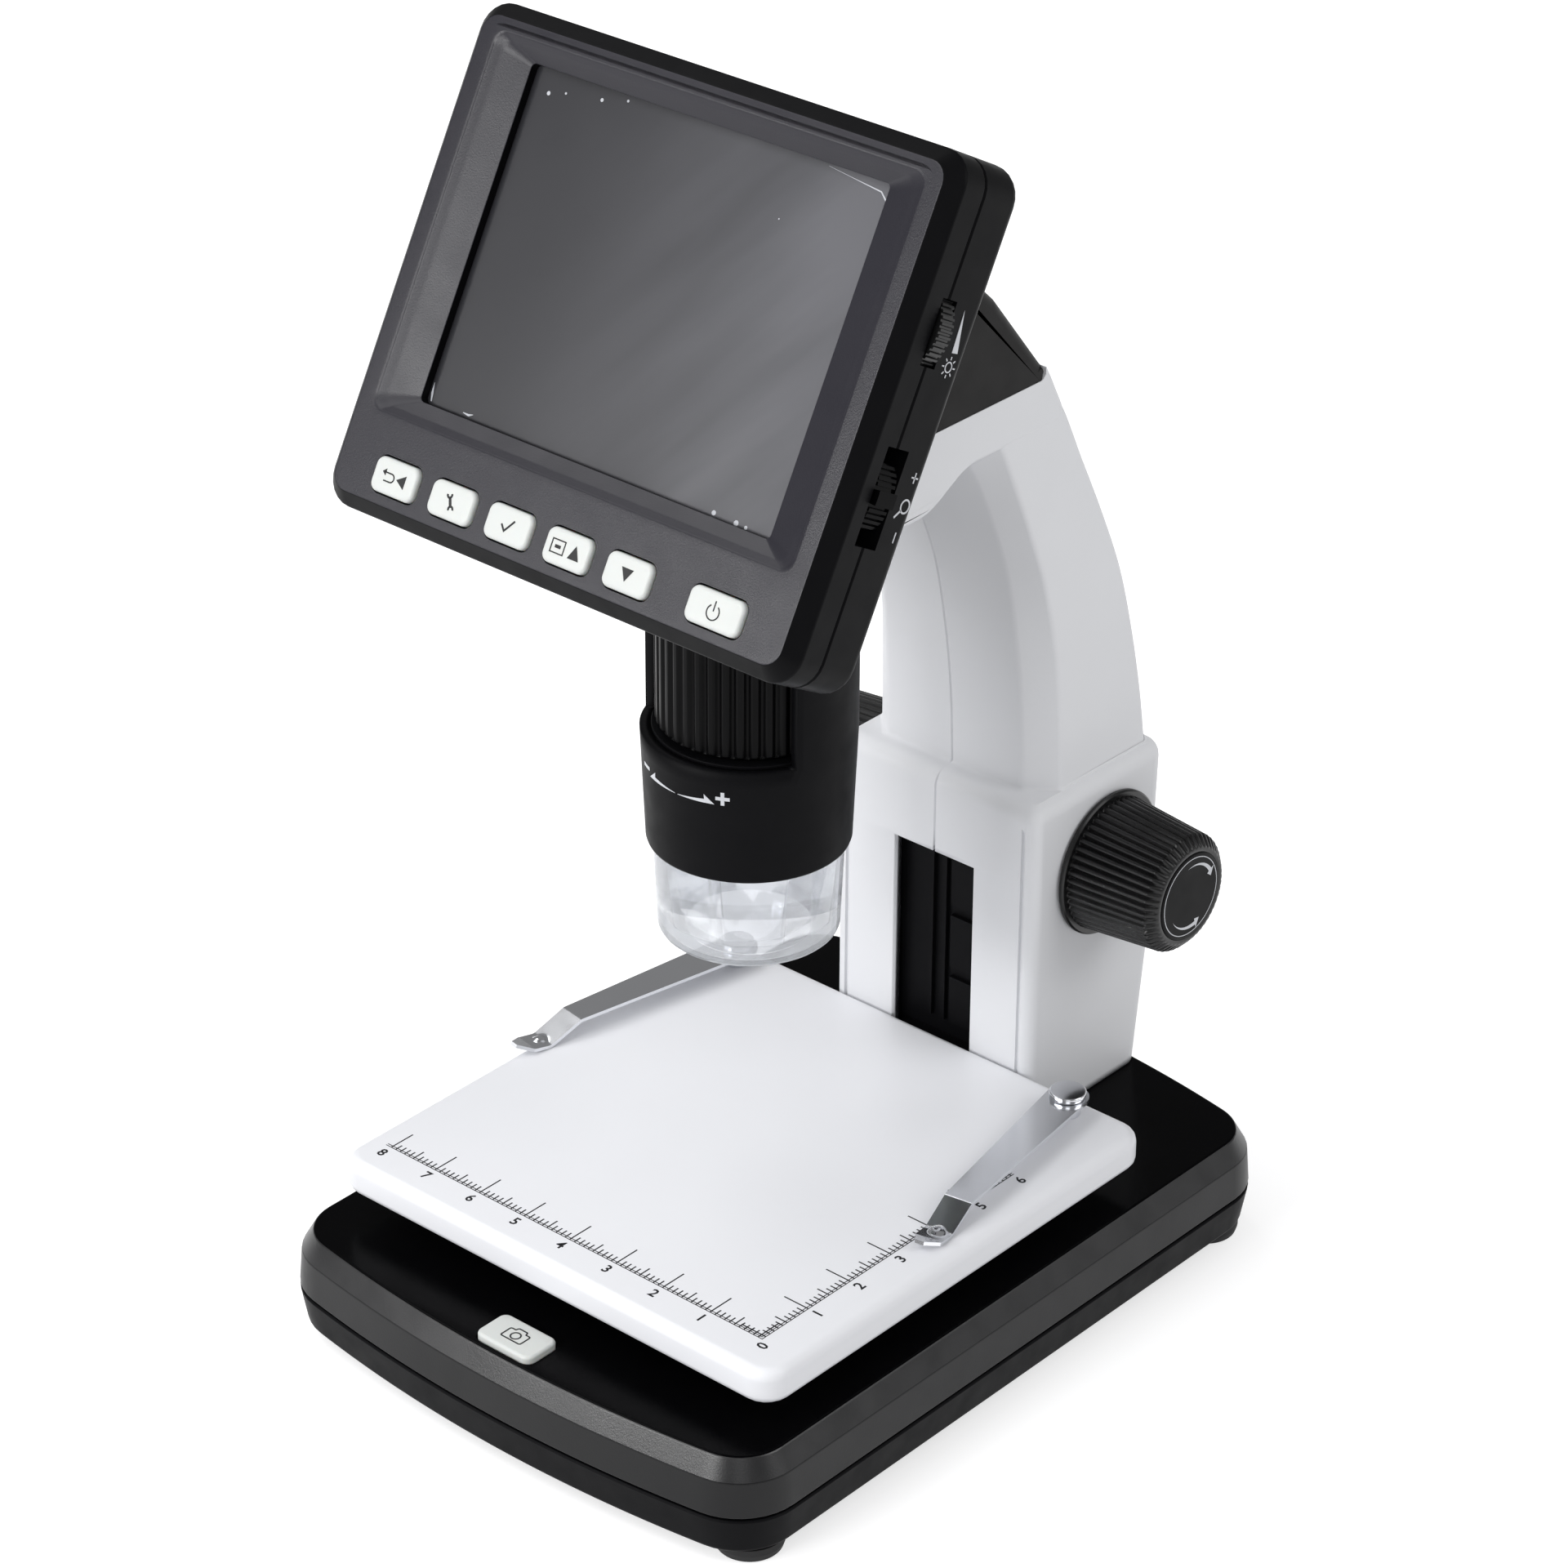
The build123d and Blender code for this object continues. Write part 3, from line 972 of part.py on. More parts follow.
card -= slab(14, CARD_V - CARD_W / 2 + 0.4, CARD_V + CARD_W / 2 - 0.4,
             main_d - CARD_T + 0.3, main_d - 0.3, 0, -side_u + 6.5)
save("card_socket", placed(card))

side_cuts = wheel_slot + zoom_slot + usb_hole + card_hole
save("display_bezel", placed(bezel - side_cuts))
rear_shell -= side_cuts
save("display_rear_shell", placed(rear_shell))
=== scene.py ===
import json

import bmesh
import bpy
import numpy as np
from mathutils import Matrix


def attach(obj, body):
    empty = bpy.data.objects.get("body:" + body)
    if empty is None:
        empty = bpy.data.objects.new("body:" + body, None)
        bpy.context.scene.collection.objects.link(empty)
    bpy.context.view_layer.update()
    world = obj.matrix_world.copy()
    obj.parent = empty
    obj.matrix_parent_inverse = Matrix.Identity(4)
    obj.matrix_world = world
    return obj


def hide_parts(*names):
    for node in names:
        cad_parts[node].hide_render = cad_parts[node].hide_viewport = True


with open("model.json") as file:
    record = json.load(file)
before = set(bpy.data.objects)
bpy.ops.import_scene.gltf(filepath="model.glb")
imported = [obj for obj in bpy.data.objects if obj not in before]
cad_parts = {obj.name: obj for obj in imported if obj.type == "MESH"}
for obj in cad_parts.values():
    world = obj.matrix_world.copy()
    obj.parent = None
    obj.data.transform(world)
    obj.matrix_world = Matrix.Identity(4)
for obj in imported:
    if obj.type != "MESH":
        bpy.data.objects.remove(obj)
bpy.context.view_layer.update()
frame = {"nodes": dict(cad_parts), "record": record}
scene = bpy.context.scene
scene.view_settings.view_transform = "Standard"
MM = 0.001

# ---------------------------------------------------------------- table top and lamps
# A plain white table top that runs out of sight, lit by soft boxes in front, at both
# sides and above, one low strip light and an even ambient light.
TABLE_HALF, TABLE_Z = 4.0, -2e-5
TABLE_GLOW = 0.58
AMBIENT, AMBIENT_IN_GLOSS = 0.46, 0.24
LAMP_TARGET = (0.0, 0.0, 0.11)
# name, azimuth and elevation in degrees, distance, width and height in metres, watts
LAMPS = [("key_box", -34, 54, 1.3, 0.8, 0.8, 5.3), ("front_box", -6, 23, 1.5, 0.5, 0.32, 7.0),
         ("low_strip", -30, 17, 1.4, 0.42, 0.2, 3.8), ("side_box", 44, 29, 1.4, 0.5, 0.4, 1.2),
         ("fill_box", 112, 32, 1.4, 0.8, 0.8, 5.0), ("top_box", -100, 57, 1.2, 0.5, 0.5, 2.0)]


def linear(red, green, blue):
    """Shader colour of a screen colour from 0 to 255: the standard screen curve undone."""
    c = np.array((red, green, blue)) / 255
    return (*np.where(c <= 0.04045, c / 12.92, ((c + 0.055) / 1.055) ** 2.4).tolist(), 1.0)


def feed(tree, socket, value):
    """Link a shader input to another node's output, or set it to a value."""
    if isinstance(value, bpy.types.NodeSocket):
        tree.links.new(value, socket)
    else:
        socket.default_value = value


def node(tree, kind, *feeds, **settings):
    """Outputs of a new shader node. The feeds go to its inputs in order. A setting is one of
    its properties, or goes to the input of that name."""
    made = tree.nodes.new("ShaderNode" + kind)
    for key, value in settings.items():
        if hasattr(made, key):
            setattr(made, key, value)
        else:
            feed(tree, made.inputs[key.replace("_", " ")], value)
    for socket, value in zip(made.inputs, feeds):
        feed(tree, socket, value)
    return made.outputs


def aimed(target, azimuth, elevation, distance=0.0, roll=0.0):
    """Pose of a lamp or a camera: out from the target at an azimuth and an elevation, looking
    back along that line and rolled round it, all in degrees."""
    a, e, roll = np.radians((azimuth, elevation, roll))
    back = np.array((np.sin(a) * np.cos(e), -np.cos(a) * np.cos(e), np.sin(e)))
    level = np.array((np.cos(a), np.sin(a), 0))
    right = np.cos(roll) * level + np.sin(roll) * np.cross(back, level)
    turn = Matrix(np.column_stack((right, np.cross(back, right), back)))
    return Matrix.LocRotScale(np.array(target) + back * distance, turn, None)


table = bpy.data.materials.new("table_white")
table.use_nodes = True
tree = table.node_tree
tree.nodes.clear()
rays = node(tree, "LightPath")
seen = node(tree, "Math", rays["Is Camera Ray"], rays["Is Transmission Ray"], operation="MAXIMUM")
shown = node(tree, "Math", seen[0], rays["Is Glossy Ray"], operation="MAXIMUM")
strength = node(tree, "Math", shown[0], TABLE_GLOW, operation="MULTIPLY")
paint = node(tree, "BsdfDiffuse", Color=linear(214, 214, 215))
glow = node(tree, "Emission", Strength=strength[0])
both = node(tree, "AddShader", paint[0], glow[0])
node(tree, "OutputMaterial", both[0])

corners = [(x * TABLE_HALF, y * TABLE_HALF, TABLE_Z) for x, y in ((-1, -1), (1, -1), (1, 1), (-1, 1))]
table_mesh = bpy.data.meshes.new("table_top")
table_mesh.from_pydata(corners, [], [(0, 1, 2, 3)])
table_mesh.materials.append(table)
table_top = bpy.data.objects.new("table_top", table_mesh)
scene.collection.objects.link(table_top)

world = bpy.data.worlds.new("studio")
scene.world = world
world.use_nodes = True
tree = world.node_tree
rays = node(tree, "LightPath")
ambient = node(tree, "MapRange", rays["Is Glossy Ray"], To_Min=AMBIENT, To_Max=AMBIENT_IN_GLOSS)
backdrop = node(tree, "Math", ambient["Result"], rays["Is Camera Ray"], operation="MAXIMUM")
feed(tree, tree.nodes["Background"].inputs["Strength"], backdrop[0])
feed(tree, tree.nodes["Background"].inputs["Color"], (1, 1, 1, 1))

for name, azimuth, elevation, distance, width, height, watts in LAMPS:
    lamp = bpy.data.lights.new(name, "AREA")
    lamp.shape = "RECTANGLE"
    lamp.size, lamp.size_y, lamp.energy = width, height, watts
    holder = bpy.data.objects.new(name, lamp)
    holder.matrix_world = aimed(LAMP_TARGET, azimuth, elevation, distance)
    scene.collection.objects.link(holder)

# ---------------------------------------------------------------- camera
# A long lens from the front right, looking down on the stage. Its focal length is given
# as a multiple of the picture's width.
CAMERA_PLACE = (0.47281, -0.54188, 0.49668)
CAMERA_AZIMUTH, CAMERA_ELEVATION, CAMERA_ROLL = 41.1698, 29.2712, 0.3001
SENSOR_W, FOCAL_SHARE = 36, 6347.94 / 1920

camera = bpy.data.objects.new("camera", bpy.data.cameras.new("camera"))
camera.data.sensor_width = SENSOR_W
camera.data.lens = SENSOR_W * FOCAL_SHARE
camera.data.clip_start, camera.data.clip_end = 0.05, 20
camera.matrix_world = aimed(CAMERA_PLACE, CAMERA_AZIMUTH, CAMERA_ELEVATION, roll=CAMERA_ROLL)
scene.collection.objects.link(camera)
scene.camera = camera

# ---------------------------------------------------------------- base tray
# Lower half of the base: a shallow tray of black moulded plastic. Six screws pass up
# through its floor into the cover, and its rim meets the cover in a fine groove.
BASE_HALF_W, BASE_CORNER_R = 52.0, 11.25
BASE_TIPS, BASE_BOWS = (-71.95, 70.2), (5.05, 6.0)
FOOT_H = 2.5
TRAY_PROFILE = [(3.2, 4.5), (2.0, 9.3), (0.3, 9.35), (0.0, 9.1), (1.15, FOOT_H), (3.4, FOOT_H)]
TRAY_RADII = [0, 0.3, 0.1, 0.25, 1.1, 0]
SCREW_PLACES = [(x, y) for x in (-34.0, 34.0) for y in (-55.95, -0.875, 54.2)]
POCKET_R, POCKET_TOP = 2.7, 4.2


def unit(v):
    """The same directions at length one; a zero vector stays zero."""
    return v / np.maximum(np.linalg.norm(v, axis=-1, keepdims=True), 1e-9)


def rounded(points, radii, steps=5, closed=True):
    """Polygon with round corners. Each corner becomes an arc of its radius that touches both
    sides: its radius vector turns evenly from the first point of contact to the second."""
    p = np.asarray(points, float)
    r = np.broadcast_to(np.asarray(radii, float), (len(p),))
    before, after = unit(np.roll(p, 1, 0) - p), unit(np.roll(p, -1, 0) - p)
    half = np.clip(np.arccos(np.clip((before * after).sum(1), -1, 1)) / 2, 1e-3, None)
    reach = (r / np.tan(half))[:, None]
    centre = p + unit(before + after) * (r / np.sin(half))[:, None]
    start, end = (p + before * reach - centre)[:, None], (p + after * reach - centre)[:, None]
    turn = np.maximum(np.pi - 2 * half, 1e-4)[:, None, None]
    s = np.linspace(0, 1, steps + 1)[None, :, None]
    arcs = centre[:, None] + (np.sin((1 - s) * turn) * start + np.sin(s * turn) * end) / np.sin(turn)
    if closed:
        return arcs.reshape(-1, 2)
    return np.vstack((p[:1], arcs[1:-1].reshape(-1, 2), p[-1:]))


def base_rim(arc_steps=30, corner_steps=10):
    """Plan of the base as points and outward normals. The bowed front and rear are arcs of a
    large circle, and a corner circle touches that arc from inside and the straight side."""
    halves = []
    for tip, bow, sign in zip(BASE_TIPS, BASE_BOWS, (-1, 1)):
        big = (BASE_HALF_W ** 2 + bow ** 2) / (2 * bow)
        middle = tip - sign * big
        corner_x = BASE_HALF_W - BASE_CORNER_R
        corner_y = middle + sign * np.sqrt((big - BASE_CORNER_R) ** 2 - corner_x ** 2)
        lean = np.arctan2(corner_x, sign * (corner_y - middle))
        a = np.r_[np.linspace(0, lean, arc_steps), np.linspace(lean, np.pi / 2, corner_steps)[1:]]
        normal = np.column_stack((np.sin(a), sign * np.cos(a)))
        radius = np.r_[np.full(arc_steps, big), np.full(corner_steps - 1, BASE_CORNER_R)][:, None]
        heart = np.where(radius == big, (0, middle), (corner_x, corner_y))
        halves.append(np.hstack((heart + radius * normal, normal)))
    right = np.vstack((halves[0], halves[1][::-1]))
    left = right[::-1][1:-1] * (-1, 1, -1, 1)
    both = np.vstack((right, left))
    return both[:, :2], both[:, 2:]


def stacked(rim, normals, profile):
    """Rows of points: at each (inset, height) of the profile the rim is set in along its normals."""
    inset, height = np.asarray(profile).T
    flat = rim[None] - inset[:, None, None] * normals[None]
    return np.dstack((flat, np.broadcast_to(height[:, None], flat.shape[:2])))


def band(rows, ring=True, ends=("first", "last"), tone=0, keep=None):
    """Quads between neighbouring rows of points. A ring's rows close on themselves, an end is
    closed by one face, tone numbers the material of each strip, and keep drops single quads."""
    rows = np.asarray(rows, float)
    count, n = rows.shape[:2]
    r, c = np.meshgrid(np.arange(count - 1), np.arange(n if ring else n - 1), indexing="ij")
    d = (c + 1) % n
    quads = np.stack((r * n + c, r * n + d, (r + 1) * n + d, (r + 1) * n + c), -1)
    tones = np.broadcast_to(np.reshape(tone, (-1, 1)), quads.shape[:2])
    kept = np.ones(quads.shape[:2], bool) if keep is None else keep
    faces, tones = quads[kept].tolist(), tones[kept].tolist()
    closings = {"first": (0, -1, tones[0]), "last": ((count - 1) * n, 1, tones[-1])}
    for end in ends:
        first, way, end_tone = closings[end]
        faces.append(list(range(first, first + n))[::way])
        tones.append(end_tone)
    return rows.reshape(-1, 3), faces, tones


def joined(name, bands, weld=1e-6):
    """One mesh object from bands of points in millimetres, welded, with its faces outwards."""
    points, faces, tones, first = [], [], [], 0
    for band_points, band_faces, band_tones in bands:
        points.append(band_points)
        faces += [[first + k for k in face] for face in band_faces]
        tones += band_tones
        first += len(band_points)
    mesh = bpy.data.meshes.new(name)
    mesh.from_pydata(np.vstack(points) * MM, [], faces)
    mesh.polygons.foreach_set("material_index", tones)
    work = bmesh.new()
    work.from_mesh(mesh)
    bmesh.ops.remove_doubles(work, verts=work.verts, dist=weld)
    bmesh.ops.dissolve_degenerate(work, edges=work.edges, dist=weld)
    bmesh.ops.recalc_face_normals(work, faces=work.faces)
    work.to_mesh(mesh)
    work.free()
    piece = bpy.data.objects.new(name, mesh)
    scene.collection.objects.link(piece)
    return piece


def settled(piece):
    """New mesh of an object as its modifiers or its curve leave it."""
    return bpy.data.meshes.new_from_object(piece.evaluated_get(bpy.context.evaluated_depsgraph_get()))


def carved(piece, bands):
    """Take closed bands out of a piece, for good."""
    tool = joined("tool", bands)
    cut = piece.modifiers.new("cut", "BOOLEAN")
    cut.object, cut.operation, cut.solver = tool, "DIFFERENCE", "EXACT"
    piece.data = settled(piece)
    piece.modifiers.clear()
    bpy.data.objects.remove(tool)
    return piece


def fitted(piece, materials, body, slot, *nodes, crease=38, wall=0.0, even_wall=True):
    """Finish a piece: materials, smooth faces with creases, a wall where it is a skin, and its place in the
    model: the body it rides on, and the nodes that it stands for, which it hides. The slot is not used."""
    mesh = piece.data
    tones = np.empty(len(mesh.polygons), dtype=np.int32)
    mesh.polygons.foreach_get("material_index", tones)
    mesh.materials.clear()
    for material in materials:
        mesh.materials.append(material)
    mesh.polygons.foreach_set("material_index", np.minimum(tones, len(materials) - 1))
    mesh.shade_smooth()
    mesh.set_sharp_from_angle(angle=np.radians(crease))
    if wall:
        thick = piece.modifiers.new("wall", "SOLIDIFY")
        thick.thickness, thick.offset, thick.use_even_offset = wall * MM, -1, even_wall
    even = piece.modifiers.new("even", "WEIGHTED_NORMAL")
    even.keep_sharp = True
    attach(piece, body)
    if nodes:
        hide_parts(*nodes)
    return piece


def stuff(name, colour, rough, grain=0.3, depth=0.003, patch=14.0, tint=0.06, spread=0.05,
          stretch=(1, 1, 1), **inputs):
    """Surface of one stuff. Broad soft patches shift its colour by the share tint and its
    roughness by spread, and a fine grain of the given size raises it by depth, in mm."""
    material = bpy.data.materials.new(name)
    material.use_nodes = True
    tree = material.node_tree
    place = node(tree, "TexCoord")["Object"]

    def cloud(size, detail, across=(1, 1, 1)):
        lie = node(tree, "Mapping", place, Scale=across)
        return node(tree, "TexNoise", lie[0], Scale=1 / (size * MM), Detail=detail)["Fac"]

    dark, pale = ((*(min(c * share, 1) for c in colour[:3]), 1) for share in (1 - tint, 1 + tint))
    hue = node(tree, "Mix", cloud(patch, 4), data_type="RGBA", A=dark, B=pale)
    sheen = node(tree, "MapRange", cloud(patch / 3, 5), From_Min=0.3, From_Max=0.7,
                 To_Min=max(rough - spread, 0.02), To_Max=min(rough + spread, 1))
    bump = node(tree, "Bump", Height=cloud(grain, 2, stretch), Distance=depth * MM)
    made = {"Base_Color": hue["Result"], "Roughness": sheen["Result"], "Normal": bump["Normal"]}
    for key, value in {**made, **inputs}.items():
        feed(tree, tree.nodes["Principled BSDF"].inputs[key.replace("_", " ")], value)
    return material


def lathe(profile, centre, count=48):
    """Rows of circles round an upright axis, one for each (radius, height) of the profile."""
    radius, height = np.asarray(profile, float).T[:, :, None]
    a = np.linspace(0, 2 * np.pi, count, endpoint=False)
    x, y = centre[0] + radius * np.cos(a), centre[1] + radius * np.sin(a)
    return np.stack(np.broadcast_arrays(x, y, height), -1)


black_satin = stuff("black_satin", linear(13, 13, 15), 0.46, grain=0.35, depth=0.004,
                    Specular_IOR_Level=0.06)
rim, rim_normals = base_rim()
tray = joined("tray", [band(stacked(rim, rim_normals, rounded(TRAY_PROFILE, TRAY_RADII, closed=False)))])
pocket_line = [(POCKET_R, FOOT_H - 1), (POCKET_R, POCKET_TOP)]
tray = carved(tray, [band(lathe(pocket_line, place, 32)) for place in SCREW_PLACES])
fitted(tray, [black_satin], "frame", "black_shell", "base_lower_tray")

# ---------------------------------------------------------------- rubber feet
# Four round feet of soft black rubber, moulded with a hollow sole and pressed into the
# corners of the tray.
FOOT_PROFILE = rounded([(3.2, 0.5), (3.6, 0.0), (5.3, 0.0), (5.7, 1.3), (5.7, FOOT_H), (3.0, FOOT_H)],
                       [0.1, 0.2, 0.5, 0.3, 0.1, 0], closed=False)
FOOT_PLACES = [(x, y) for x in (-44.5, 44.5) for y in (-59.3, 57.0)]

foot_rubber = stuff("foot_rubber", linear(22, 22, 23), 0.75, grain=0.5, depth=0.012, tint=0.15)
feet = joined("feet", [band(lathe(FOOT_PROFILE, place, 64)) for place in FOOT_PLACES])
fitted(feet, [foot_rubber], "frame", "foot_rubber", "rubber_feet")

# ---------------------------------------------------------------- base cover
# Upper half of the base: a moulded black cover with drafted sides and a broad sloped edge, both finely
# grained, and a polished flat top. The three take copies of one black with painted light: the top is painted
# darker with its reflection turned down, a painted shade, and the sloped edge has its reflection turned up,
# a painted sheen. A hole lets the snapshot button out.
COVER_TOP = 19.8
COVER_PROFILE = [(4.4, 17.6), (2.2, 15.6), (2.0, 9.85), (0.3, 9.75), (0.0, 10.0), (0.5, 16.1),
                 (2.6, COVER_TOP), (6.5, COVER_TOP)]
COVER_RADII = [0, 0.5, 0.2, 0.1, 0.25, 0.9, 0.7, 0]
SLOPE_FOOT_Z, SIDE_TOP_Z, SLOPE_INSET = 16.3, 17.0, 2.7
BUTTON_W, BUTTON_D, BUTTON_R, BUTTON_Y, BUTTON_GAP = 11.8, 7.2, 1.5, -64.6, 0.3


def points_on(place, u, v, t):
    """Points that a place gives for two measures along it and a height above it."""
    return np.stack(np.broadcast_arrays(*place(u, v, t)), -1)


def pad(w, h, r, profile, place, steps=5):
    """Rows of a pad with round corners: at each (inset, height) of the profile the rectangle is
    set in all round, and place turns its two plan measures and the height into a point."""
    rows = []
    for inset, height in profile:
        x, y, corner = w / 2 - inset, h / 2 - inset, max(r - inset, 0.05)
        u, v = rounded([(-x, -y), (x, -y), (x, y), (-x, y)], corner, steps).T
        rows.append(points_on(place, u, v, height))
    return np.array(rows)


def on_cover(u, v, t):
    """Plan measures round the snapshot button, and height above the cover."""
    return u, v + BUTTON_Y, t + COVER_TOP


# painted sheen: the sloped edge reflects far more than the rest of the cover, so that the front lamps light
# it up
grained_sheen_slope = stuff("grained_sheen_slope", linear(13, 13, 16), 0.34, grain=0.3, depth=0.015, tint=0.12, patch=25,
                    Specular_IOR_Level=0.75)
cover_side = stuff("cover_side", linear(12, 12, 14), 0.38, grain=0.3, depth=0.01, tint=0.12, patch=25,
                   Specular_IOR_Level=0.3)
# painted shade: the flat top is painted near black and its reflection turned down, so that it stays dark
black_gloss = stuff("black_gloss", linear(4, 4, 5), 0.2, grain=0.8, depth=0.0008, tint=0.12, patch=25,
                    Specular_IOR_Level=0.04)
cover_line = rounded(COVER_PROFILE, COVER_RADII, closed=False)
line_inset, line_z = cover_line[1:].T
on_slope = (line_z > SLOPE_FOOT_Z) & (line_inset < SLOPE_INSET)
cover_tones = np.select([on_slope, line_z < SIDE_TOP_Z], [1, 2], 0)
cover = joined("cover", [band(stacked(rim, rim_normals, cover_line), tone=cover_tones)])
hole = pad(BUTTON_W + 2 * BUTTON_GAP, BUTTON_D + 2 * BUTTON_GAP, BUTTON_R + BUTTON_GAP, [(0, -6), (0, 2)],
           on_cover)
cover = carved(cover, [band(hole)])
fitted(cover, [black_gloss, grained_sheen_slope, cover_side], "frame", "black_gloss_shell", "base_upper_cover")

# ---------------------------------------------------------------- snapshot button
# White moulded cap over a switch, held by a flange under the cover. A camera outline is
# pad-printed on it in black ink.
CAP_PROFILE = rounded([(0, -3), (0, 0), (2.5, 0)], [0, 0.55, 0], closed=False)
BUTTON_RISE = 1.1
CAMERA_LINE = rounded([(-2.1, -1.5), (2.1, -1.5), (2.1, 1.0), (1.1, 1.0), (0.9, 1.6), (-0.9, 1.6),
                       (-1.1, 1.0), (-2.1, 1.0)], [0.3, 0.3, 0.3, 0.1, 0.2, 0.2, 0.1, 0.3], 3)


def stroke(points, width, place, base=0.0, closed=False, rise=0.05):
    """A printed line: a flat bar carried along the points, mitred at its corners, a hair
    proud of the surface that place puts it on. Its width may change along it."""
    p = np.asarray(points, float)
    if closed:
        p = np.vstack((p, p[:1]))
    step = unit(np.diff(p, axis=0))
    before = np.vstack((step[-1:] if closed else step[:1], step))
    after = np.vstack((step, step[:1] if closed else step[-1:]))
    along = before + after
    side = unit(np.column_stack((-along[:, 1], along[:, 0])))
    cross = np.column_stack((-after[:, 1], after[:, 0]))
    mitre = np.clip((side * cross).sum(1), 0.4, 1)[:, None]
    half = np.broadcast_to(width, (len(p),))[:, None] / 2 / mitre
    edges = [(p + way * side * half, base + t)
             for way, t in ((-1, -rise), (1, -rise), (1, rise), (-1, rise))]
    rows = np.stack([points_on(place, *edge.T, height) for edge, height in edges], 1)
    return band(rows, ends=() if closed else ("first", "last"))


def patch_of(points, place, base=0.0, rise=0.05):
    """A printed filled shape: one thin plate with the given outline."""
    u, v = np.asarray(points, float).T
    return band([points_on(place, u, v, t) for t in (base - rise, base + rise)])


def arc(cx, cy, r, start, end, steps=24):
    """Points on a circle between two angles in degrees."""
    a = np.radians(np.linspace(start, end, steps))
    return np.column_stack((cx + r * np.cos(a), cy + r * np.sin(a)))


def hoop(cx, cy, r, count=24):
    """Points round a whole circle."""
    return arc(cx, cy, r, 0, 360, count + 1)[:-1]


def printed(name, ink, body, slot, place, marks, base=0.0, rise=0.05):
    """Printed piece. Each mark is a line width and points, with "loop" where the line closes
    on itself, or a filled outline where its width is None."""
    bands = []
    for width, points, *loop in marks:
        if width is None:
            bands.append(patch_of(points, place, base, rise))
        else:
            bands.append(stroke(points, width, place, base, bool(loop), rise))
    return fitted(joined(name, bands), [ink], body, slot)


white_key = stuff("white_key", linear(210, 211, 208), 0.42, grain=0.5, depth=0.0015, tint=0.03,
                  Subsurface_Weight=0.05)
black_ink = stuff("black_ink", linear(18, 18, 20), 0.55, grain=0.2, depth=0.001)
cap_rows = pad(BUTTON_W, BUTTON_D, BUTTON_R, CAP_PROFILE + (0, BUTTON_RISE), on_cover)
fitted(joined("snapshot_cap", [band(cap_rows)]), [white_key], "snapshot", "white_key", "snapshot_button")
printed("camera_mark", black_ink, "snapshot", "white_key", on_cover,
        [(0.24, CAMERA_LINE, "loop"), (0.24, hoop(0, -0.2, 0.85, 32), "loop")], BUTTON_RISE)

# ---------------------------------------------------------------- column and arm
# Two white shells, left and right, screwed together on the centre plane, where a fine
# joint shows. The upright box has a window for the stage carriage; the arch on top of
# it has soft edges and a crowned front.
COL_HALF_W, COL_FRONT, COL_MID_Y, COL_FOOT_Z = 21.5, 36.75, 55, 19.8
COL_REARS = ((19.8, 67.9), (41.0, 70.5), (77.7, 71.8), (80.5, 71.85))
COL_FRONT_R, COL_REAR_R, COL_WALL = 2.2, 4.0, 1.9
WINDOW_HALF_W, WINDOW_TOP, NOTCH_TOP = 8.6, 65.5, 66.4
SHOULDER_R, SHOULDER_Z = 2.8, 80.5
JOINT_W, JOINT_DEPTH = 0.22, 0.3
# a fine groove runs up the box beside its front edges: distance from the edge, share of depth
GROOVE, GROOVE_DEPTH, GROOVE_TOP = ((1.8, 0), (1.7, 1), (1.1, 1), (1.0, 0)), 0.5, 76.6
# stations of the arch: front y, z, rear y, z, half width, depth of the side edge, of the crown
ARCH = np.array([(41.2, 77.0, 70.1, 77.0, 19.4, 4.7, 0.3), (40.4, 92.0, 68.3, 90.0, 19.1, 5.0, 0.5),
                 (38.8, 105.0, 65.7, 103.0, 18.7, 5.6, 1.0), (35.7, 119.5, 62.3, 115.0, 18.4, 5.8, 1.8),
                 (31.3, 130.5, 57.6, 126.5, 18.0, 6.4, 2.6), (27.0, 138.5, 52.4, 137.5, 17.7, 7.2, 3.4),
                 (22.0, 145.5, 46.9, 149.0, 17.4, 8.6, 4.2), (17.0, 151.0, 42.5, 153.5, 17.2, 10.0, 4.8)])
ARCH_FOOT_T = 0.28
ARCH_REAR_LEG, ARCH_RADII, ARCH_FLAT_SHARE = 1.8, [2.2, 1.6, 1.3, 1.3], 0.75
# the arch runs out on the shoulder in a small fillet: distance outwards, height
ARCH_FILLET = ((0.9, SHOULDER_Z), (0.45, 80.62), (0.15, 80.85))
# leg of the corner cut that two equal bends of radius 1 turn into a quarter circle
CORNER_LEG = 2 - np.sqrt(2)


def through(table, t):
    """Smooth curve through the rows of a table, at whole numbers of t (Catmull-Rom: each stretch
    is a cubic that leaves a row in the direction from its neighbour before to the one after)."""
    padded = np.vstack((2 * table[0] - table[1], table, 2 * table[-1] - table[-2]))
    k = np.clip(np.floor(t).astype(int), 0, len(table) - 2)
    s = (t - k)[:, None]
    a, b, c, d = (padded[k + i] for i in range(4))
    return b + s / 2 * (c - a + s * (2 * a - 5 * b + 4 * c - d + s * (3 * (b - c) + d - a)))


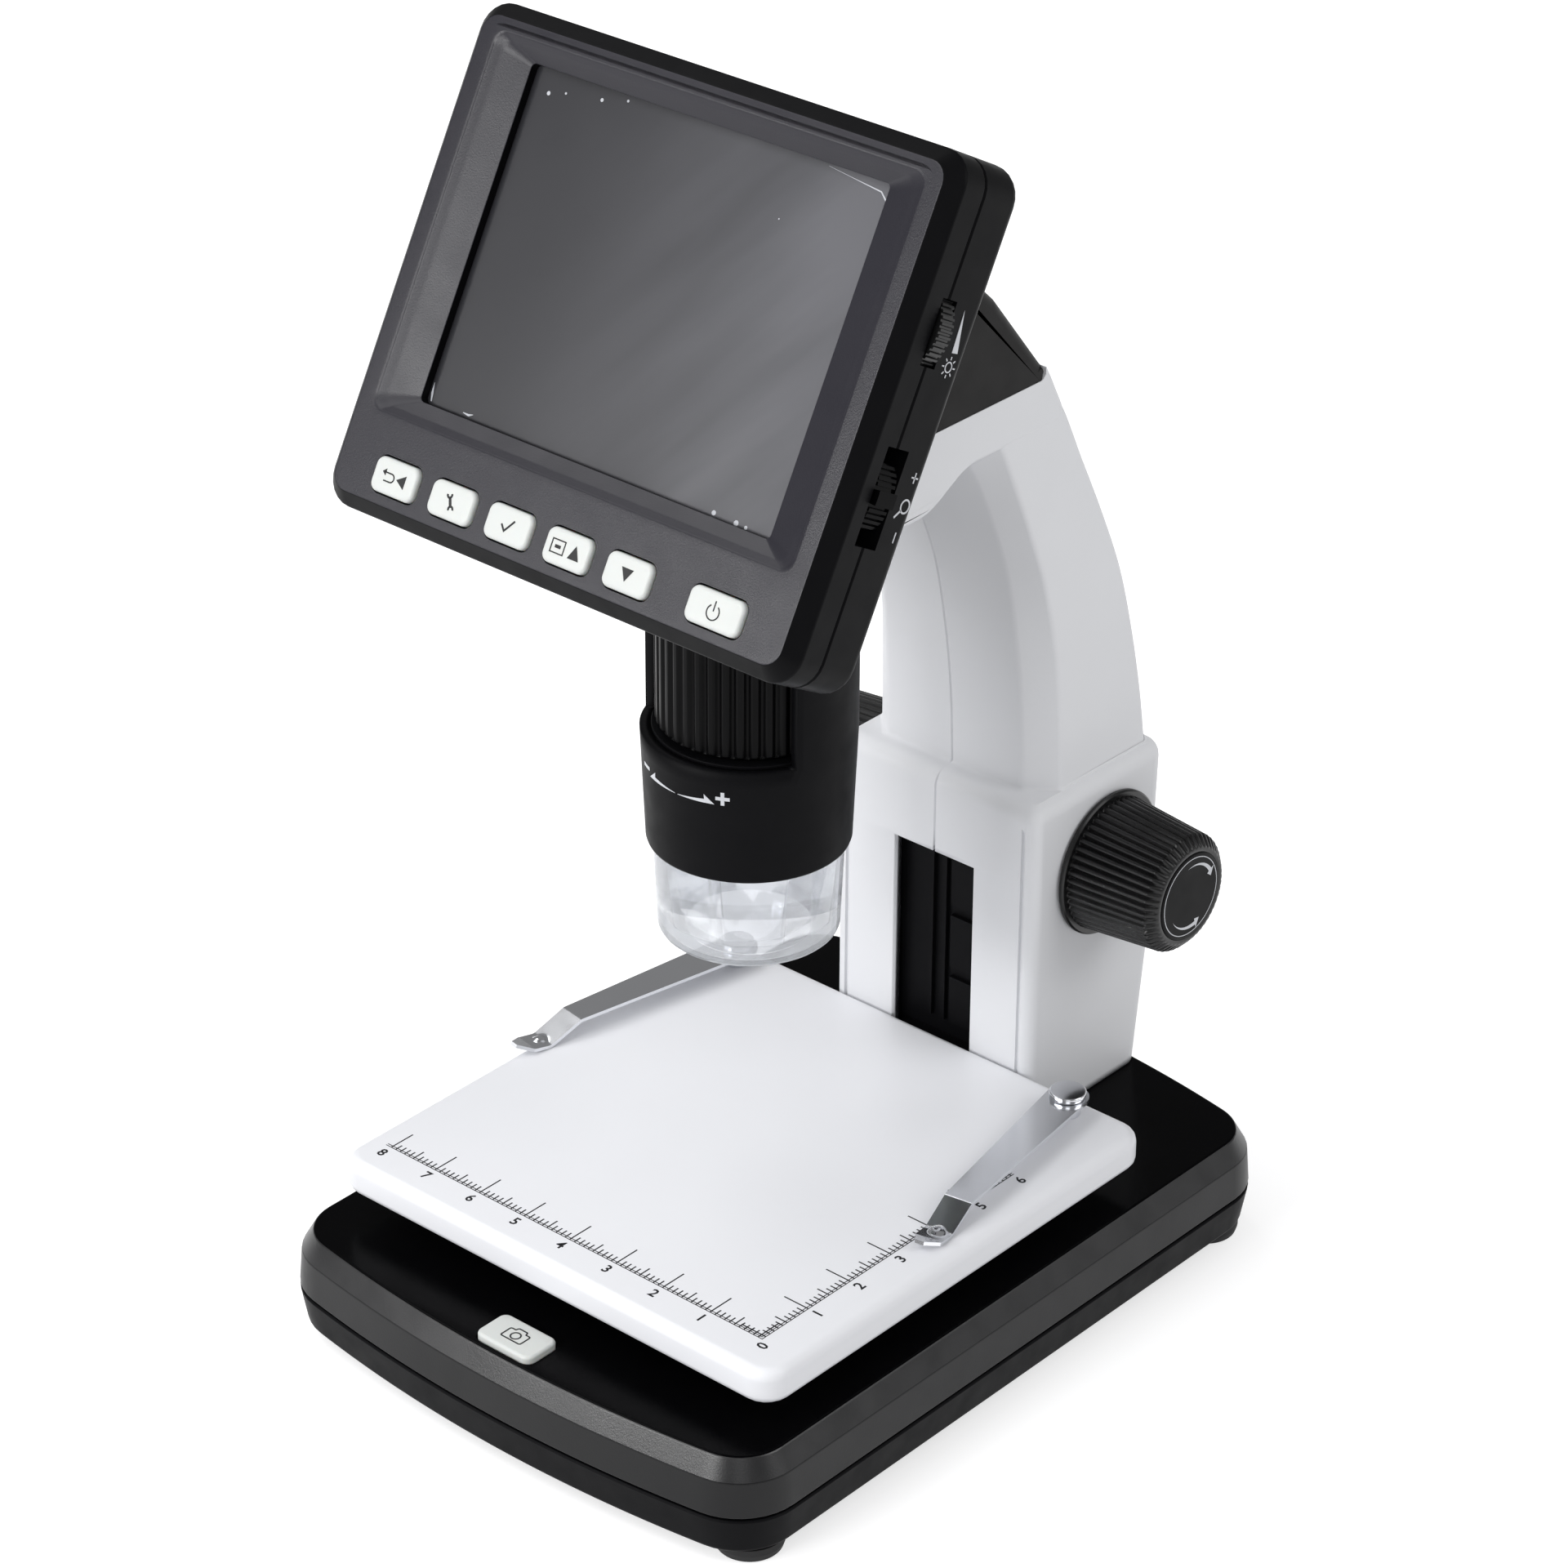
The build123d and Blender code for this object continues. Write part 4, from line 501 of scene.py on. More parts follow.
def ring_at(front, rear, half_w, flat, near, crown, far, radii, groove):
    """One level of the shell: half a section from the joint in front to the joint at the back,
    with round corners, then its mirror image. It lies in the plane through the front and rear
    points. The crown is how far the flat front falls back towards its edges."""
    length = np.hypot(rear[0] - front[0], rear[1] - front[1])
    front_line = [(JOINT_W, 0), (WINDOW_HALF_W, 0), *((flat - d, share * groove) for d, share in GROOVE),
                  (flat, 0)]
    half = rounded([(0, JOINT_DEPTH), *((x, crown / flat * x + sunk) for x, sunk in front_line),
                    (half_w, near), (half_w, length - far), (half_w - far, length), (JOINT_W, length),
                    (0, length - JOINT_DEPTH)],
                   [0, 0.05, 0, 0, 0, 0, 0, *radii, 0.05, 0], 4, closed=False)
    x, along = np.vstack((half, half[::-1][1:-1] * (-1, 1))).T
    y, z = np.array(front)[:, None] + along / length * np.subtract(rear, front)[:, None]
    return np.column_stack((x, y, z))


def column_ring(z, inset):
    """Level of the upright box, its front and rear corners quarter circles of two radii."""
    rear = np.interp(z, *np.transpose(COL_REARS)) - inset
    front, half_w = COL_FRONT + inset, COL_HALF_W - inset
    r_front, r_rear = max(COL_FRONT_R - inset / 2, 0.6), max(COL_REAR_R - inset, 0.8)
    groove = GROOVE_DEPTH * np.clip((GROOVE_TOP - z) / 0.8, 0, 1)
    return ring_at((front, z), (rear, z), half_w, half_w - CORNER_LEG * r_front, CORNER_LEG * r_front, 0.0,
                   CORNER_LEG * r_rear, [r_front, r_front, r_rear, r_rear], groove)


def arch_ring(row, out=0.0):
    """Level of the arch from a row of its table, or the same level grown outwards."""
    front, rear, (half_w, near, crown) = row[:2], row[2:4], row[4:]
    way = unit(rear - front)
    return ring_at(front - out * way, rear + out * way, half_w + out, ARCH_FLAT_SHARE * half_w + out / 2,
                   near + out / 2, crown, ARCH_REAR_LEG, ARCH_RADII, 0.0)


def between(loop, outer, inner):
    """Keep a level inside the one before it and outside the foot of the arch, point by point."""
    loop = loop.copy()
    for limit, pick in ((inner, np.maximum), (outer, np.minimum)):
        if limit is not None:
            for axis, middle in ((0, 0), (1, COL_MID_Y)):
                off = loop[:, axis] - middle
                loop[:, axis] = middle + np.sign(off) * pick(np.abs(off), np.abs(limit[:, axis] - middle))
    return loop


foot_row = through(ARCH, np.array([ARCH_FOOT_T]))[0]
levels = [COL_FOOT_Z, 21.0, 40, 55, WINDOW_TOP, NOTCH_TOP, 70, 75.8, GROOVE_TOP, SHOULDER_Z - SHOULDER_R]
rings = [column_ring(z, 0.0) for z in levels]
arch_foot = arch_ring(foot_row, 0.2)
for turn in np.radians((15, 30, 45, 60, 75, 90)):
    ring = column_ring(SHOULDER_Z - SHOULDER_R * (1 - np.sin(turn)), SHOULDER_R * (1 - np.cos(turn)))
    rings.append(between(ring, rings[-1], arch_foot))
for out, z in ARCH_FILLET:
    ring = between(arch_ring(foot_row, out), rings[-1], None)
    ring[:, 2] = z
    rings.append(ring)
arch_t = np.r_[ARCH_FOOT_T, np.linspace(0.45, len(ARCH) - 1, 34)]
rings = np.array(rings + [arch_ring(row) for row in through(ARCH, arch_t)])
# the window is left out up to its side edges, and above it a notch as wide as the joint
from_joint = np.minimum(np.arange(rings.shape[1]), rings.shape[1] - 1 - np.arange(rings.shape[1]))
window_foot = levels.index(WINDOW_TOP)
keep = np.ones((len(rings) - 1, rings.shape[1]), bool)
keep[:window_foot] = from_joint >= 6
keep[window_foot] = from_joint >= 4
white_shell = stuff("white_shell", linear(226, 227, 230), 0.55, grain=0.4, depth=0.006, tint=0.012, patch=30)
shell = joined("column_and_arch", [band(rings, ends=(), keep=keep)])
fitted(shell, [white_shell], "frame", "white_shell", "column_left_shell", "column_right_shell",
       crease=60, wall=COL_WALL, even_wall=False)

# ---------------------------------------------------------------- head housing
# White beam over the lens unit, one moulding screwed to the arch. Its underside steps
# down in a soft S towards the lens, and its rear rises in a lip behind the black neck.
DISPLAY_FOOT = np.array((-54.75, 151.7))
TILT = np.radians(61.0)
CASE_DEPTH, CASE_SINK = 16.5, 0.2
HEAD_HALF_W, HEAD_TOP, HEAD_LOW, HEAD_STEP = 17.5, 155.8, 142.0, 147.0
STEP_Y, STEP_LENGTH = 10.75, 13.0
LIP_Y, LIP_TOP = 39.6, (40.4, 158.1)


def at_display(v, d):
    """Side view (y, z) of a point so far up the display and so deep behind its face."""
    return DISPLAY_FOOT + (v * np.cos(TILT) + d * np.sin(TILT), v * np.sin(TILT) - d * np.cos(TILT))


def back_at(z):
    """Point just inside the display's back at a height."""
    v = (z - DISPLAY_FOOT[1] + CASE_DEPTH * np.cos(TILT)) / np.sin(TILT)
    return at_display(v, CASE_DEPTH - CASE_SINK)


def crosswise(outline, half_w, edge_r, soft, steps=5):
    """Moulding with one side outline (y, z) across its whole width, its side edges round where
    soft is 1 and sharp where it is 0: towards each side the outline shrinks along its normals."""
    way = unit(unit(np.roll(outline, -1, 0) - outline) + unit(outline - np.roll(outline, 1, 0)))
    y, z = outline.T
    area = np.sum(y * np.roll(z, -1) - np.roll(y, -1) * z)
    inward = np.column_stack((-way[:, 1], way[:, 0])) * np.sign(area)
    t = np.linspace(0, np.pi / 2, steps + 1)
    inset, reach = edge_r * (1 - np.sin(t)), edge_r * (1 - np.cos(t))
    inset = np.r_[inset, inset[::-1]]
    x = np.r_[-half_w + reach, half_w - reach[::-1]]
    flat = outline[None] + inset[:, None, None] * (inward * soft[:, None])[None]
    return np.dstack((np.broadcast_to(x[:, None], flat.shape[:2]), flat))


def even_outline(points, radii, steps=5):
    """Round-cornered outline without doubled points, and the corner that each point belongs to."""
    outline = rounded(points, radii, steps)
    corner = np.repeat(np.arange(len(points)), steps + 1)
    fresh = np.linalg.norm(outline - np.roll(outline, 1, 0), axis=1) > 1e-5
    return outline[fresh], corner[fresh]


s = np.linspace(0, 1, 9)
step_curve = np.column_stack((STEP_Y + STEP_LENGTH * s,
                              HEAD_LOW + (HEAD_STEP - HEAD_LOW) * (3 * s ** 2 - 2 * s ** 3)))
beam_points = [back_at(HEAD_LOW), *step_curve, (46.9, HEAD_STEP), (42.35, HEAD_TOP), LIP_TOP, (40.55, 156.6),
               (LIP_Y, HEAD_TOP), back_at(HEAD_TOP)]
beam_radii = [0.05] + [0.05] * len(step_curve) + [2.0, 0.05, 0.1, 0.6, 0.6, 0.05]
beam_outline, beam_corner = even_outline(beam_points, beam_radii)
beam_soft = (beam_corner <= len(step_curve) + 2).astype(float)
beam = joined("beam", [band(crosswise(beam_outline, HEAD_HALF_W, 1.1, beam_soft))])
fitted(beam, [white_shell], "frame", "white_shell", "head_lower_housing", crease=50)

# ---------------------------------------------------------------- neck
# Black moulding that closes the beam from above and carries the display on its front.
# Its long top edges are rounded; the edges that meet the display and the beam are sharp.
NECK_HALF_W, NECK_EDGE_R, NECK_TOP_V = 17.4, 1.9, 71.0
NECK_CREST, NECK_REAR = (28.5, 173.0), (40.55, 158.0)
NECK_FADE = 0.17

neck_grey = stuff("neck_grey", linear(20, 19, 19), 0.44, grain=0.35, depth=0.006, Specular_IOR_Level=0.12)
neck_points = [back_at(HEAD_TOP), at_display(NECK_TOP_V, CASE_DEPTH - CASE_SINK), NECK_CREST, NECK_REAR,
               (LIP_Y - 0.05, HEAD_TOP)]
neck_outline, neck_corner = even_outline(neck_points, [0.05, 0.05, 5.0, 1.4, 0.5])
# the side edges are round from the display over the crest, and less so with each point round
# the rear corner; rank counts the points of one corner
rank = np.arange(len(neck_corner)) - np.searchsorted(neck_corner, neck_corner)
neck_soft = np.where(((neck_corner == 1) & (rank >= 4)) | (neck_corner == 2), 1.0, 0.0)
neck_soft[neck_corner == 3] = 1 - NECK_FADE * rank[neck_corner == 3]
neck = joined("neck", [band(crosswise(neck_outline, NECK_HALF_W, NECK_EDGE_R, neck_soft))])
fitted(neck, [neck_grey], "frame", "black_shell", "head_upper_housing", crease=40)

# ---------------------------------------------------------------- display front
# Front half of the display case: a dark grey moulded face with a sunk frame round the
# screen and six key holes, and sloped black edges all round.
FACE_W, FACE_H, FACE_MID = 90.0, 75.2, 37.6
BEVEL_W, BEVEL_D, CASE_R, CASE_SEAM, SEAM_GAP = 2.3, 2.4, 5.0, 7.4, 0.05
SUNK_W, SUNK_V, SUNK_D, SUNK_R = 83.2, np.array((13.9, 72.7)), 2.1, 2.2
OPEN_W, OPEN_V, OPEN_D, OPEN_R = 70.1, np.array((16.75, 70.05)), 3.6, 0.8
BACK_LAP = 2.0
KEY_V, KEY_H, KEY_GAP, KEY_HOLE_R = 4.6, 5.5, 0.3, 1.7
KEYS = {"back_key": (-32.6, 8.8), "settings_key": (-20.75, 8.8), "confirm_key": (-9.0, 8.8),
        "mode_up_key": (2.95, 8.8), "down_key": (14.9, 8.8), "power_key": (31.9, 10.4)}
RIGHT_U = FACE_W / 2 + BEVEL_W
WHEEL_V, WHEEL_D, ROCKER_V = 52.35, 7.8, 27.65
# openings for the wheel, the rocker and the two sockets: v and d from and to, side, depth
SIDE_OPENINGS = [(WHEEL_V - 5.05, WHEEL_V + 5.05, WHEEL_D - 1.8, WHEEL_D + 1.8, 1, 5.0),
                 (ROCKER_V - 7.45, ROCKER_V + 7.45, WHEEL_D - 2.6, WHEEL_D + 2.6, 1, 6.0),
                 (25.8, 34.2, 7.0, 10.8, -1, 5.0), (43.7, 56.3, 8.8, 10.8, -1, 5.0)]


def on_face(u, v, t):
    """Display measures: across, up the face, and height above it."""
    y, z = DISPLAY_FOOT
    return u, y + v * np.cos(TILT) - t * np.sin(TILT), z + v * np.sin(TILT) + t * np.cos(TILT)


def over_key(u0):
    """Measures round the middle of the key at u0, and height above the face."""
    return lambda u, v, t: on_face(u + u0, v + KEY_V, t)


def frame_row(w, v0, v1, r, depth, steps=6):
    """Round-cornered rectangle in the display's measures at a depth behind the face."""
    u, v = rounded([(-w / 2, v0), (w / 2, v0), (w / 2, v1), (-w / 2, v1)], r, steps).T
    return points_on(on_face, u, v, -depth)


def case_row(inset, depth):
    """Outline of the case set in from its widest, at a depth."""
    w, half_h = FACE_W + 2 * (BEVEL_W - inset), FACE_H / 2 + BEVEL_W - inset
    return frame_row(w, FACE_MID - half_h, FACE_MID + half_h, max(CASE_R - inset * 0.9, 0.05), depth)


def side_pocket(v0, v1, d0, d1, side, depth):
    """Square hole into one side of the case, between two heights up the face and two depths."""
    v, d = np.array([(v0, d0), (v1, d0), (v1, d1), (v0, d1)]).T
    return band([points_on(on_face, side * (RIGHT_U + reach), v, -d) for reach in (-depth, 1.0)])


bezel_grey = stuff("bezel_grey", linear(38, 37, 44), 0.32, grain=0.24, depth=0.016, tint=0.05, patch=20,
                   spread=0.03, Specular_IOR_Level=0.34)
case_black = stuff("case_black", linear(11, 11, 13), 0.42, grain=0.35, depth=0.003, tint=0.08,
                   Specular_IOR_Level=0.07)
edge_line = rounded([(0.3, CASE_SEAM - SEAM_GAP), (0, CASE_SEAM - 0.35), (0, BEVEL_D), (BEVEL_W, 0),
                     (BEVEL_W + 1.5, 0)], [0, 0.1, 0.8, 0.45, 0], 4, closed=False)
outer_rows = [case_row(inset, depth) for inset, depth in [(2.2, CASE_SEAM - SEAM_GAP), *edge_line]]
# from the face into the opening: share of the way from the sunk frame's edge, and depth
slope_line = rounded([(-1.5, 0.0), (0.0, 0.0), (1.0, SUNK_D), (1.0, OPEN_D)], [0, 1.1, 0.25, 0],
                     closed=False)
slope_rows = []
for share, depth in slope_line:
    s, grow = np.clip(share, 0, 1), max(-share, 0)
    low, high = SUNK_V + (OPEN_V - SUNK_V) * s + (-grow, grow)
    w = SUNK_W + (OPEN_W - SUNK_W) * s + 2 * grow
    slope_rows.append(frame_row(w, low, high, SUNK_R + (OPEN_R - SUNK_R) * s, depth))
back_rows = [frame_row(OPEN_W + 2 * BACK_LAP, OPEN_V[0] - BACK_LAP, OPEN_V[1] + BACK_LAP, 0.5, depth)
             for depth in (OPEN_D, CASE_SEAM - SEAM_GAP)]
# the sides and the inside of the case are black, its face and the slope round the screen grey
tones = np.zeros(len(outer_rows) + len(slope_rows) + len(back_rows), int)
tones[:len(outer_rows) - 4] = 1
tones[len(outer_rows) + len(slope_rows) - 2:] = 1
case_rows = np.array(outer_rows + slope_rows + back_rows + outer_rows[:1])
key_holes = [band(pad(w + 2 * KEY_GAP, KEY_H + 2 * KEY_GAP, KEY_HOLE_R, [(0, -4.5), (0, 1)],
                      over_key(u0))) for u0, w in KEYS.values()]
side_pockets = [side_pocket(*opening) for opening in SIDE_OPENINGS]
front_case = joined("display_front", [band(case_rows, ends=(), tone=tones)])
front_case = carved(front_case, key_holes + side_pockets)
fitted(front_case, [bezel_grey, case_black], "frame", "bezel_shell", "display_bezel", crease=30)

# ---------------------------------------------------------------- display back
# Rear half of the case, moulded in black, with rounded edges and four screw pockets. It
# shares the side openings with the front half.
REAR_R, REAR_POCKET_R, REAR_POCKET_T = 2.0, 2.6, 2.6
REAR_SCREWS = [(u, v) for u in (-40.5, 40.5) for v in (5.0, 70.0)]

rear_line = rounded([(0.3, CASE_SEAM + SEAM_GAP), (0, CASE_SEAM + 0.35), (0, CASE_DEPTH), (7, CASE_DEPTH)],
                    [0, 0.1, REAR_R, 0], 6, closed=False)
rear_case = joined("display_rear", [band([case_row(inset, depth) for inset, depth in rear_line])])
pockets = []
for u0, v0 in REAR_SCREWS:
    u, v = hoop(u0, v0, REAR_POCKET_R, 28).T
    pockets.append(band([points_on(on_face, u, v, -depth)
                         for depth in (CASE_DEPTH - REAR_POCKET_T, CASE_DEPTH + 1)]))
rear_case = carved(rear_case, pockets + side_pockets)
fitted(rear_case, [case_black], "frame", "black_shell", "display_rear_shell", crease=40)

# ---------------------------------------------------------------- keys
# Six white moulded caps that stand a little proud of the face, each over its own switch.
# Their signs are printed in black.
KEY_RISE, KEY_R, SIGN_LINE = 0.8, 1.4, 0.2
KEY_PROFILE = rounded([(0, -3.5), (0, KEY_RISE), (1.9, KEY_RISE)], [0, 0.6, 0], closed=False)
KEY_SIGNS = {
    "back_key": [(None, [(0.55, 0), (2.3, 1.05), (2.3, -1.05)]),
                 (0.22, [(-2.0, 0.55), *arc(-0.6, -0.1, 0.65, 90, -90, 12), (-1.9, -0.75)]),
                 (None, [(-2.5, 0.55), (-1.8, 1.1), (-1.8, 0.0)])],
    "settings_key": [(0.48, [(-0.28, 0.62), (0.28, -0.62)]), (0.34, arc(-0.45, 1.0, 0.42, 175, 395, 14)),
                     (0.34, arc(0.45, -1.0, 0.42, -5, 215, 14))],
    "confirm_key": [(0.3, [(-1.1, 0.0), (-0.3, -0.9), (1.2, 1.0)])],
    "mode_up_key": [(None, [(0.6, -1.05), (2.8, -1.05), (1.7, 1.1)]),
                    (SIGN_LINE, [(-2.9, -1.0), (-0.4, -1.0), (-0.4, 1.0), (-2.9, 1.0)], "loop"),
                    (0.5, [(-2.2, 0.0), (-1.1, 0.0)])],
    "down_key": [(None, [(-1.15, 0.95), (0, -1.05), (1.15, 0.95)])],
    "power_key": [(SIGN_LINE, arc(0, -0.25, 1.15, 125, 415, 28)), (SIGN_LINE, [(0, -0.1), (0, 1.45)])],
}

for name, (u0, w) in KEYS.items():
    body = name.replace("_key", "_button")
    cap = joined(name + "_cap", [band(pad(w, KEY_H, KEY_R, KEY_PROFILE, over_key(u0)))])
    fitted(cap, [white_key], body, "white_key", name)
    printed(name + "_sign", black_ink, body, "white_key", over_key(u0), KEY_SIGNS[name], KEY_RISE)

# ---------------------------------------------------------------- side marks
# Light grey signs printed beside the wheel and the rocker: a wedge and a sun for
# brightness, plus, magnifier and minus for the digital zoom.
SIDE_D = 13.8
SUN_V, SUN_D = 48.2, 12.7
PLUS_V, LENS_V, MINUS_V, BAR_HALF, BAR_W = 31.7, 27.4, 22.7, 0.8, 0.24


def on_side(v, d, t):
    """Measures on the right side of the case: up the face, depth, and height above the side."""
    return RIGHT_U + t, *on_face(0, v, -d)[1:]


white_ink = stuff("white_ink", linear(205, 207, 212), 0.5, grain=0.2, depth=0.001)
wedge = (None, [(56.6, 11.95), (50.3, 12.35), (50.4, 13.7)])
sun = [(SIGN_LINE, hoop(SUN_V, SUN_D, 0.75), "loop")]
for a in np.radians(np.arange(8) * 45):
    sun.append((SIGN_LINE, np.outer((1.1, 1.6), (np.cos(a), np.sin(a))) + (SUN_V, SUN_D)))
plus = [(BAR_W, [(PLUS_V - BAR_HALF, SIDE_D), (PLUS_V + BAR_HALF, SIDE_D)]),
        (BAR_W, [(PLUS_V, SIDE_D - BAR_HALF), (PLUS_V, SIDE_D + BAR_HALF)])]
magnifier = [(0.28, hoop(LENS_V, SIDE_D, 1.0), "loop"),
             (0.34, [(LENS_V - 0.7, SIDE_D - 0.7), (LENS_V - 1.9, SIDE_D - 1.8)])]
minus = (BAR_W, [(MINUS_V - BAR_HALF, SIDE_D), (MINUS_V + BAR_HALF, SIDE_D)])
printed("side_marks", white_ink, "frame", "black_shell", on_side, [wedge, *sun, *plus, *magnifier, minus])

# ---------------------------------------------------------------- screen
# The display panel lies under a clear window with a thin protective film on it, which has a few specks and a
# lifted corner. Pale lines along the film's edges at the top right corner and at the bottom are painted
# glints, where the light catches its edge.
GLASS_T, GLASS_LAP = 0.8, 1.5
SCREEN_DARK, SCREEN_PALE = linear(44, 44, 48), linear(92, 92, 97)
PALER_FROM, PALER_TO = -30, 40
STREAK_TURN, STREAK_SCALE = (-TILT, 0, np.radians(-52)), (14, 75, 14)
# painted glints: pale lines along the film's edges at the top right corner and at the bottom, where the
# light catches it; widths and points across and up
FILM_GLINTS_AND_MARKS = [([0.03, 0.08, 0.2, 0.26, 0.05],
           [(22.5, 69.7), (28.0, 69.1), (32.8, 68.6), (34.3, 67.4), (34.5, 64.6)]),
          ([0.06, 0.4, 0.2], [(-34.7, 20.0), (-34.5, 18.4), (-34.2, 17.2)]),
          ([0.1, 0.35, 0.08], [(-27.6, 17.4), (-26.4, 17.3), (-25.6, 17.6)])]
# specks on the film: across, up, radius
SPECKS = [(-31.5, 66.5, 0.34), (-28.3, 67.3, 0.2), (-21.3, 68.1, 0.3), (-16.5, 69.2, 0.22),
          (23.0, 17.3, 0.4), (27.4, 17.1, 0.45), (29.3, 17.0, 0.3), (17.0, 60.2, 0.12)]


def hazed(material):
    """A grey that grows paler towards the right edge of the screen, with faint diagonal streaks, drawn as
    noise that is long in one direction."""
    tree = material.node_tree
    place = node(tree, "TexCoord")["Object"]
    lie = node(tree, "Mapping", place, Rotation=STREAK_TURN)
    long = node(tree, "Mapping", lie[0], Scale=STREAK_SCALE)
    streak = node(tree, "TexNoise", long[0], Scale=1.0, Detail=3)
    apart = node(tree, "SeparateXYZ", place)
    # the screen's grey grows paler towards its right edge
    side = node(tree, "MapRange", apart["X"], interpolation_type="SMOOTHSTEP", From_Min=PALER_FROM * MM,
                From_Max=PALER_TO * MM)
    weight = node(tree, "MapRange", streak["Fac"], From_Min=0.35, From_Max=0.75, To_Min=0.55, To_Max=1.35)
    share = node(tree, "Math", side[0], weight[0], operation="MULTIPLY", use_clamp=True)
    hue = node(tree, "Mix", share[0], data_type="RGBA", A=SCREEN_DARK, B=SCREEN_PALE)
    feed(tree, tree.nodes["Principled BSDF"].inputs["Base Color"], hue["Result"])


def on_film(u, v, t):
    """Display measures, with the height above the film on the screen."""
    return on_face(u, v, t - OPEN_D)


screen_grey = stuff("screen_grey", linear(84, 84, 88), 0.34, grain=2.0, depth=0.0008, patch=34, tint=0.1,
                    spread=0.03, stretch=(1, 0.35, 0.35), Specular_IOR_Level=0.35)
hazed(screen_grey)
window_rows = [frame_row(OPEN_W + 2 * GLASS_LAP, OPEN_V[0] - GLASS_LAP, OPEN_V[1] + GLASS_LAP, 0.6, d)
               for d in (OPEN_D, OPEN_D + GLASS_T)]
fitted(joined("screen", [band(window_rows)]), [screen_grey], "frame", "screen_glass", "screen_window")
film_white = stuff("film_white", linear(190, 192, 198), 0.5, grain=0.5, depth=0.004, tint=0.2, patch=3)
specks = [(None, arc(u0, v0, size, 0, 330, 9)) for u0, v0, size in SPECKS]
printed("film_glints_and_specks", film_white, "frame", "screen_glass", on_film, FILM_GLINTS_AND_MARKS + specks, rise=0.02)

# ---------------------------------------------------------------- lens hood
# Black moulded sleeve round the focus ring, cut open in front so that a finger reaches
# the ring. A shelf inside carries the ring, and an arrow with plus and minus is printed
# below.
LENS_Y = -9.55
HOOD_R, HOOD_R_LOW, HOOD_LOW, HOOD_LIP, HOOD_CUT_TOP, HOOD_T = 17.2, 16.4, 88.8, 108.65, 138.0, 2.0
HOOD_CUT_HALF, HOOD_FRONT = np.radians(67), -np.pi / 2
# heights and radii of the sleeve's bent edge and its taper
HOOD_BEND_Z = (HOOD_LOW, HOOD_LOW + 0.15, HOOD_LOW + 0.6, HOOD_LIP)
HOOD_BEND_R = (HOOD_R_LOW - 0.45, HOOD_R_LOW - 0.15, HOOD_R_LOW, HOOD_R)
SHELF = rounded([(11.6, 109.2), (15.4, 109.2), (15.4, 97.2), (14.6, 97.2), (14.6, 106.2), (11.6, 106.2)],
                [0.2, 0.2, 0.1, 0.1, 0.2, 0.2], 3)
MARK_Z, SIGN_Z, SIGN_U, SIGN_HALF, SIGN_W = 103.0, 104.15, 8.3, 1.15, 0.6
ARROW_START_U, ARROW_BARB_U, ARROW_TIP_U = 0.3, 5.3, 6.95


def on_lens(a, r, z):
    """Points round the lens axis at angles, radii and heights."""
    return np.stack(np.broadcast_arrays(r * np.cos(a), LENS_Y + r * np.sin(a), z), -1)


def on_hood(u, z, t):
    """Measures on the hood: along its curve from the front, height, and height above it."""
    r = np.interp(z, (HOOD_LOW, HOOD_LIP), (HOOD_R_LOW, HOOD_R)) + t
    a = u / HOOD_R + HOOD_FRONT
    return r * np.cos(a), LENS_Y + r * np.sin(a), z


hood_z = np.r_[HOOD_BEND_Z[:3], np.linspace(92, 106, 5), HOOD_LIP, 120, 130, HOOD_CUT_TOP, HEAD_LOW + 0.5]
hood_r = np.interp(hood_z, HOOD_BEND_Z, HOOD_BEND_R)
cut_part = np.linspace(-HOOD_CUT_HALF, HOOD_CUT_HALF, 37)[:-1]
free_part = np.linspace(HOOD_CUT_HALF, 2 * np.pi - HOOD_CUT_HALF, 61)[:-1]
hood_rows = on_lens(HOOD_FRONT + np.r_[cut_part, free_part], hood_r[:, None], hood_z[:, None])
cut_rows = (hood_z[:-1] >= HOOD_LIP) & (hood_z[:-1] < HOOD_CUT_TOP)
keep = ~(cut_rows[:, None] & (np.arange(hood_rows.shape[1]) < len(cut_part)))
hood = joined("hood", [band(hood_rows, ends=(), keep=keep)])
fitted(hood, [black_satin], "frame", "black_shell", "lens_hood", wall=HOOD_T, crease=45)
shelf = joined("hood_shelf", [band(lathe(np.vstack((SHELF, SHELF[:1])), (0, LENS_Y), 96), ends=())])
fitted(shelf, [black_satin], "frame", "black_shell")

hood_marks = []
for side in (1, -1):
    reach = np.linspace(ARROW_START_U, ARROW_BARB_U, 12)
    share = (reach - ARROW_START_U) / (ARROW_BARB_U - ARROW_START_U)
    shaft = np.column_stack((side * reach, MARK_Z + 0.02 + 0.3 * share))
    barb = [(side * ARROW_BARB_U, MARK_Z), (side * ARROW_TIP_U, MARK_Z),
            (side * (ARROW_BARB_U - 0.1), MARK_Z + 1.5)]
    bar = [(side * SIGN_U + reach, SIGN_Z) for reach in (-SIGN_HALF, 0, SIGN_HALF)]
    hood_marks += [stroke(shaft, 0.06 + 0.6 * share, on_hood), patch_of(barb, on_hood),
                   stroke(bar, SIGN_W, on_hood)]
plus_post = [(SIGN_U, SIGN_Z - SIGN_HALF), (SIGN_U, SIGN_Z + SIGN_HALF)]
hood_marks.append(stroke(plus_post, SIGN_W, on_hood, rise=0.06))
fitted(joined("hood_print", hood_marks), [white_ink], "frame", "black_shell")

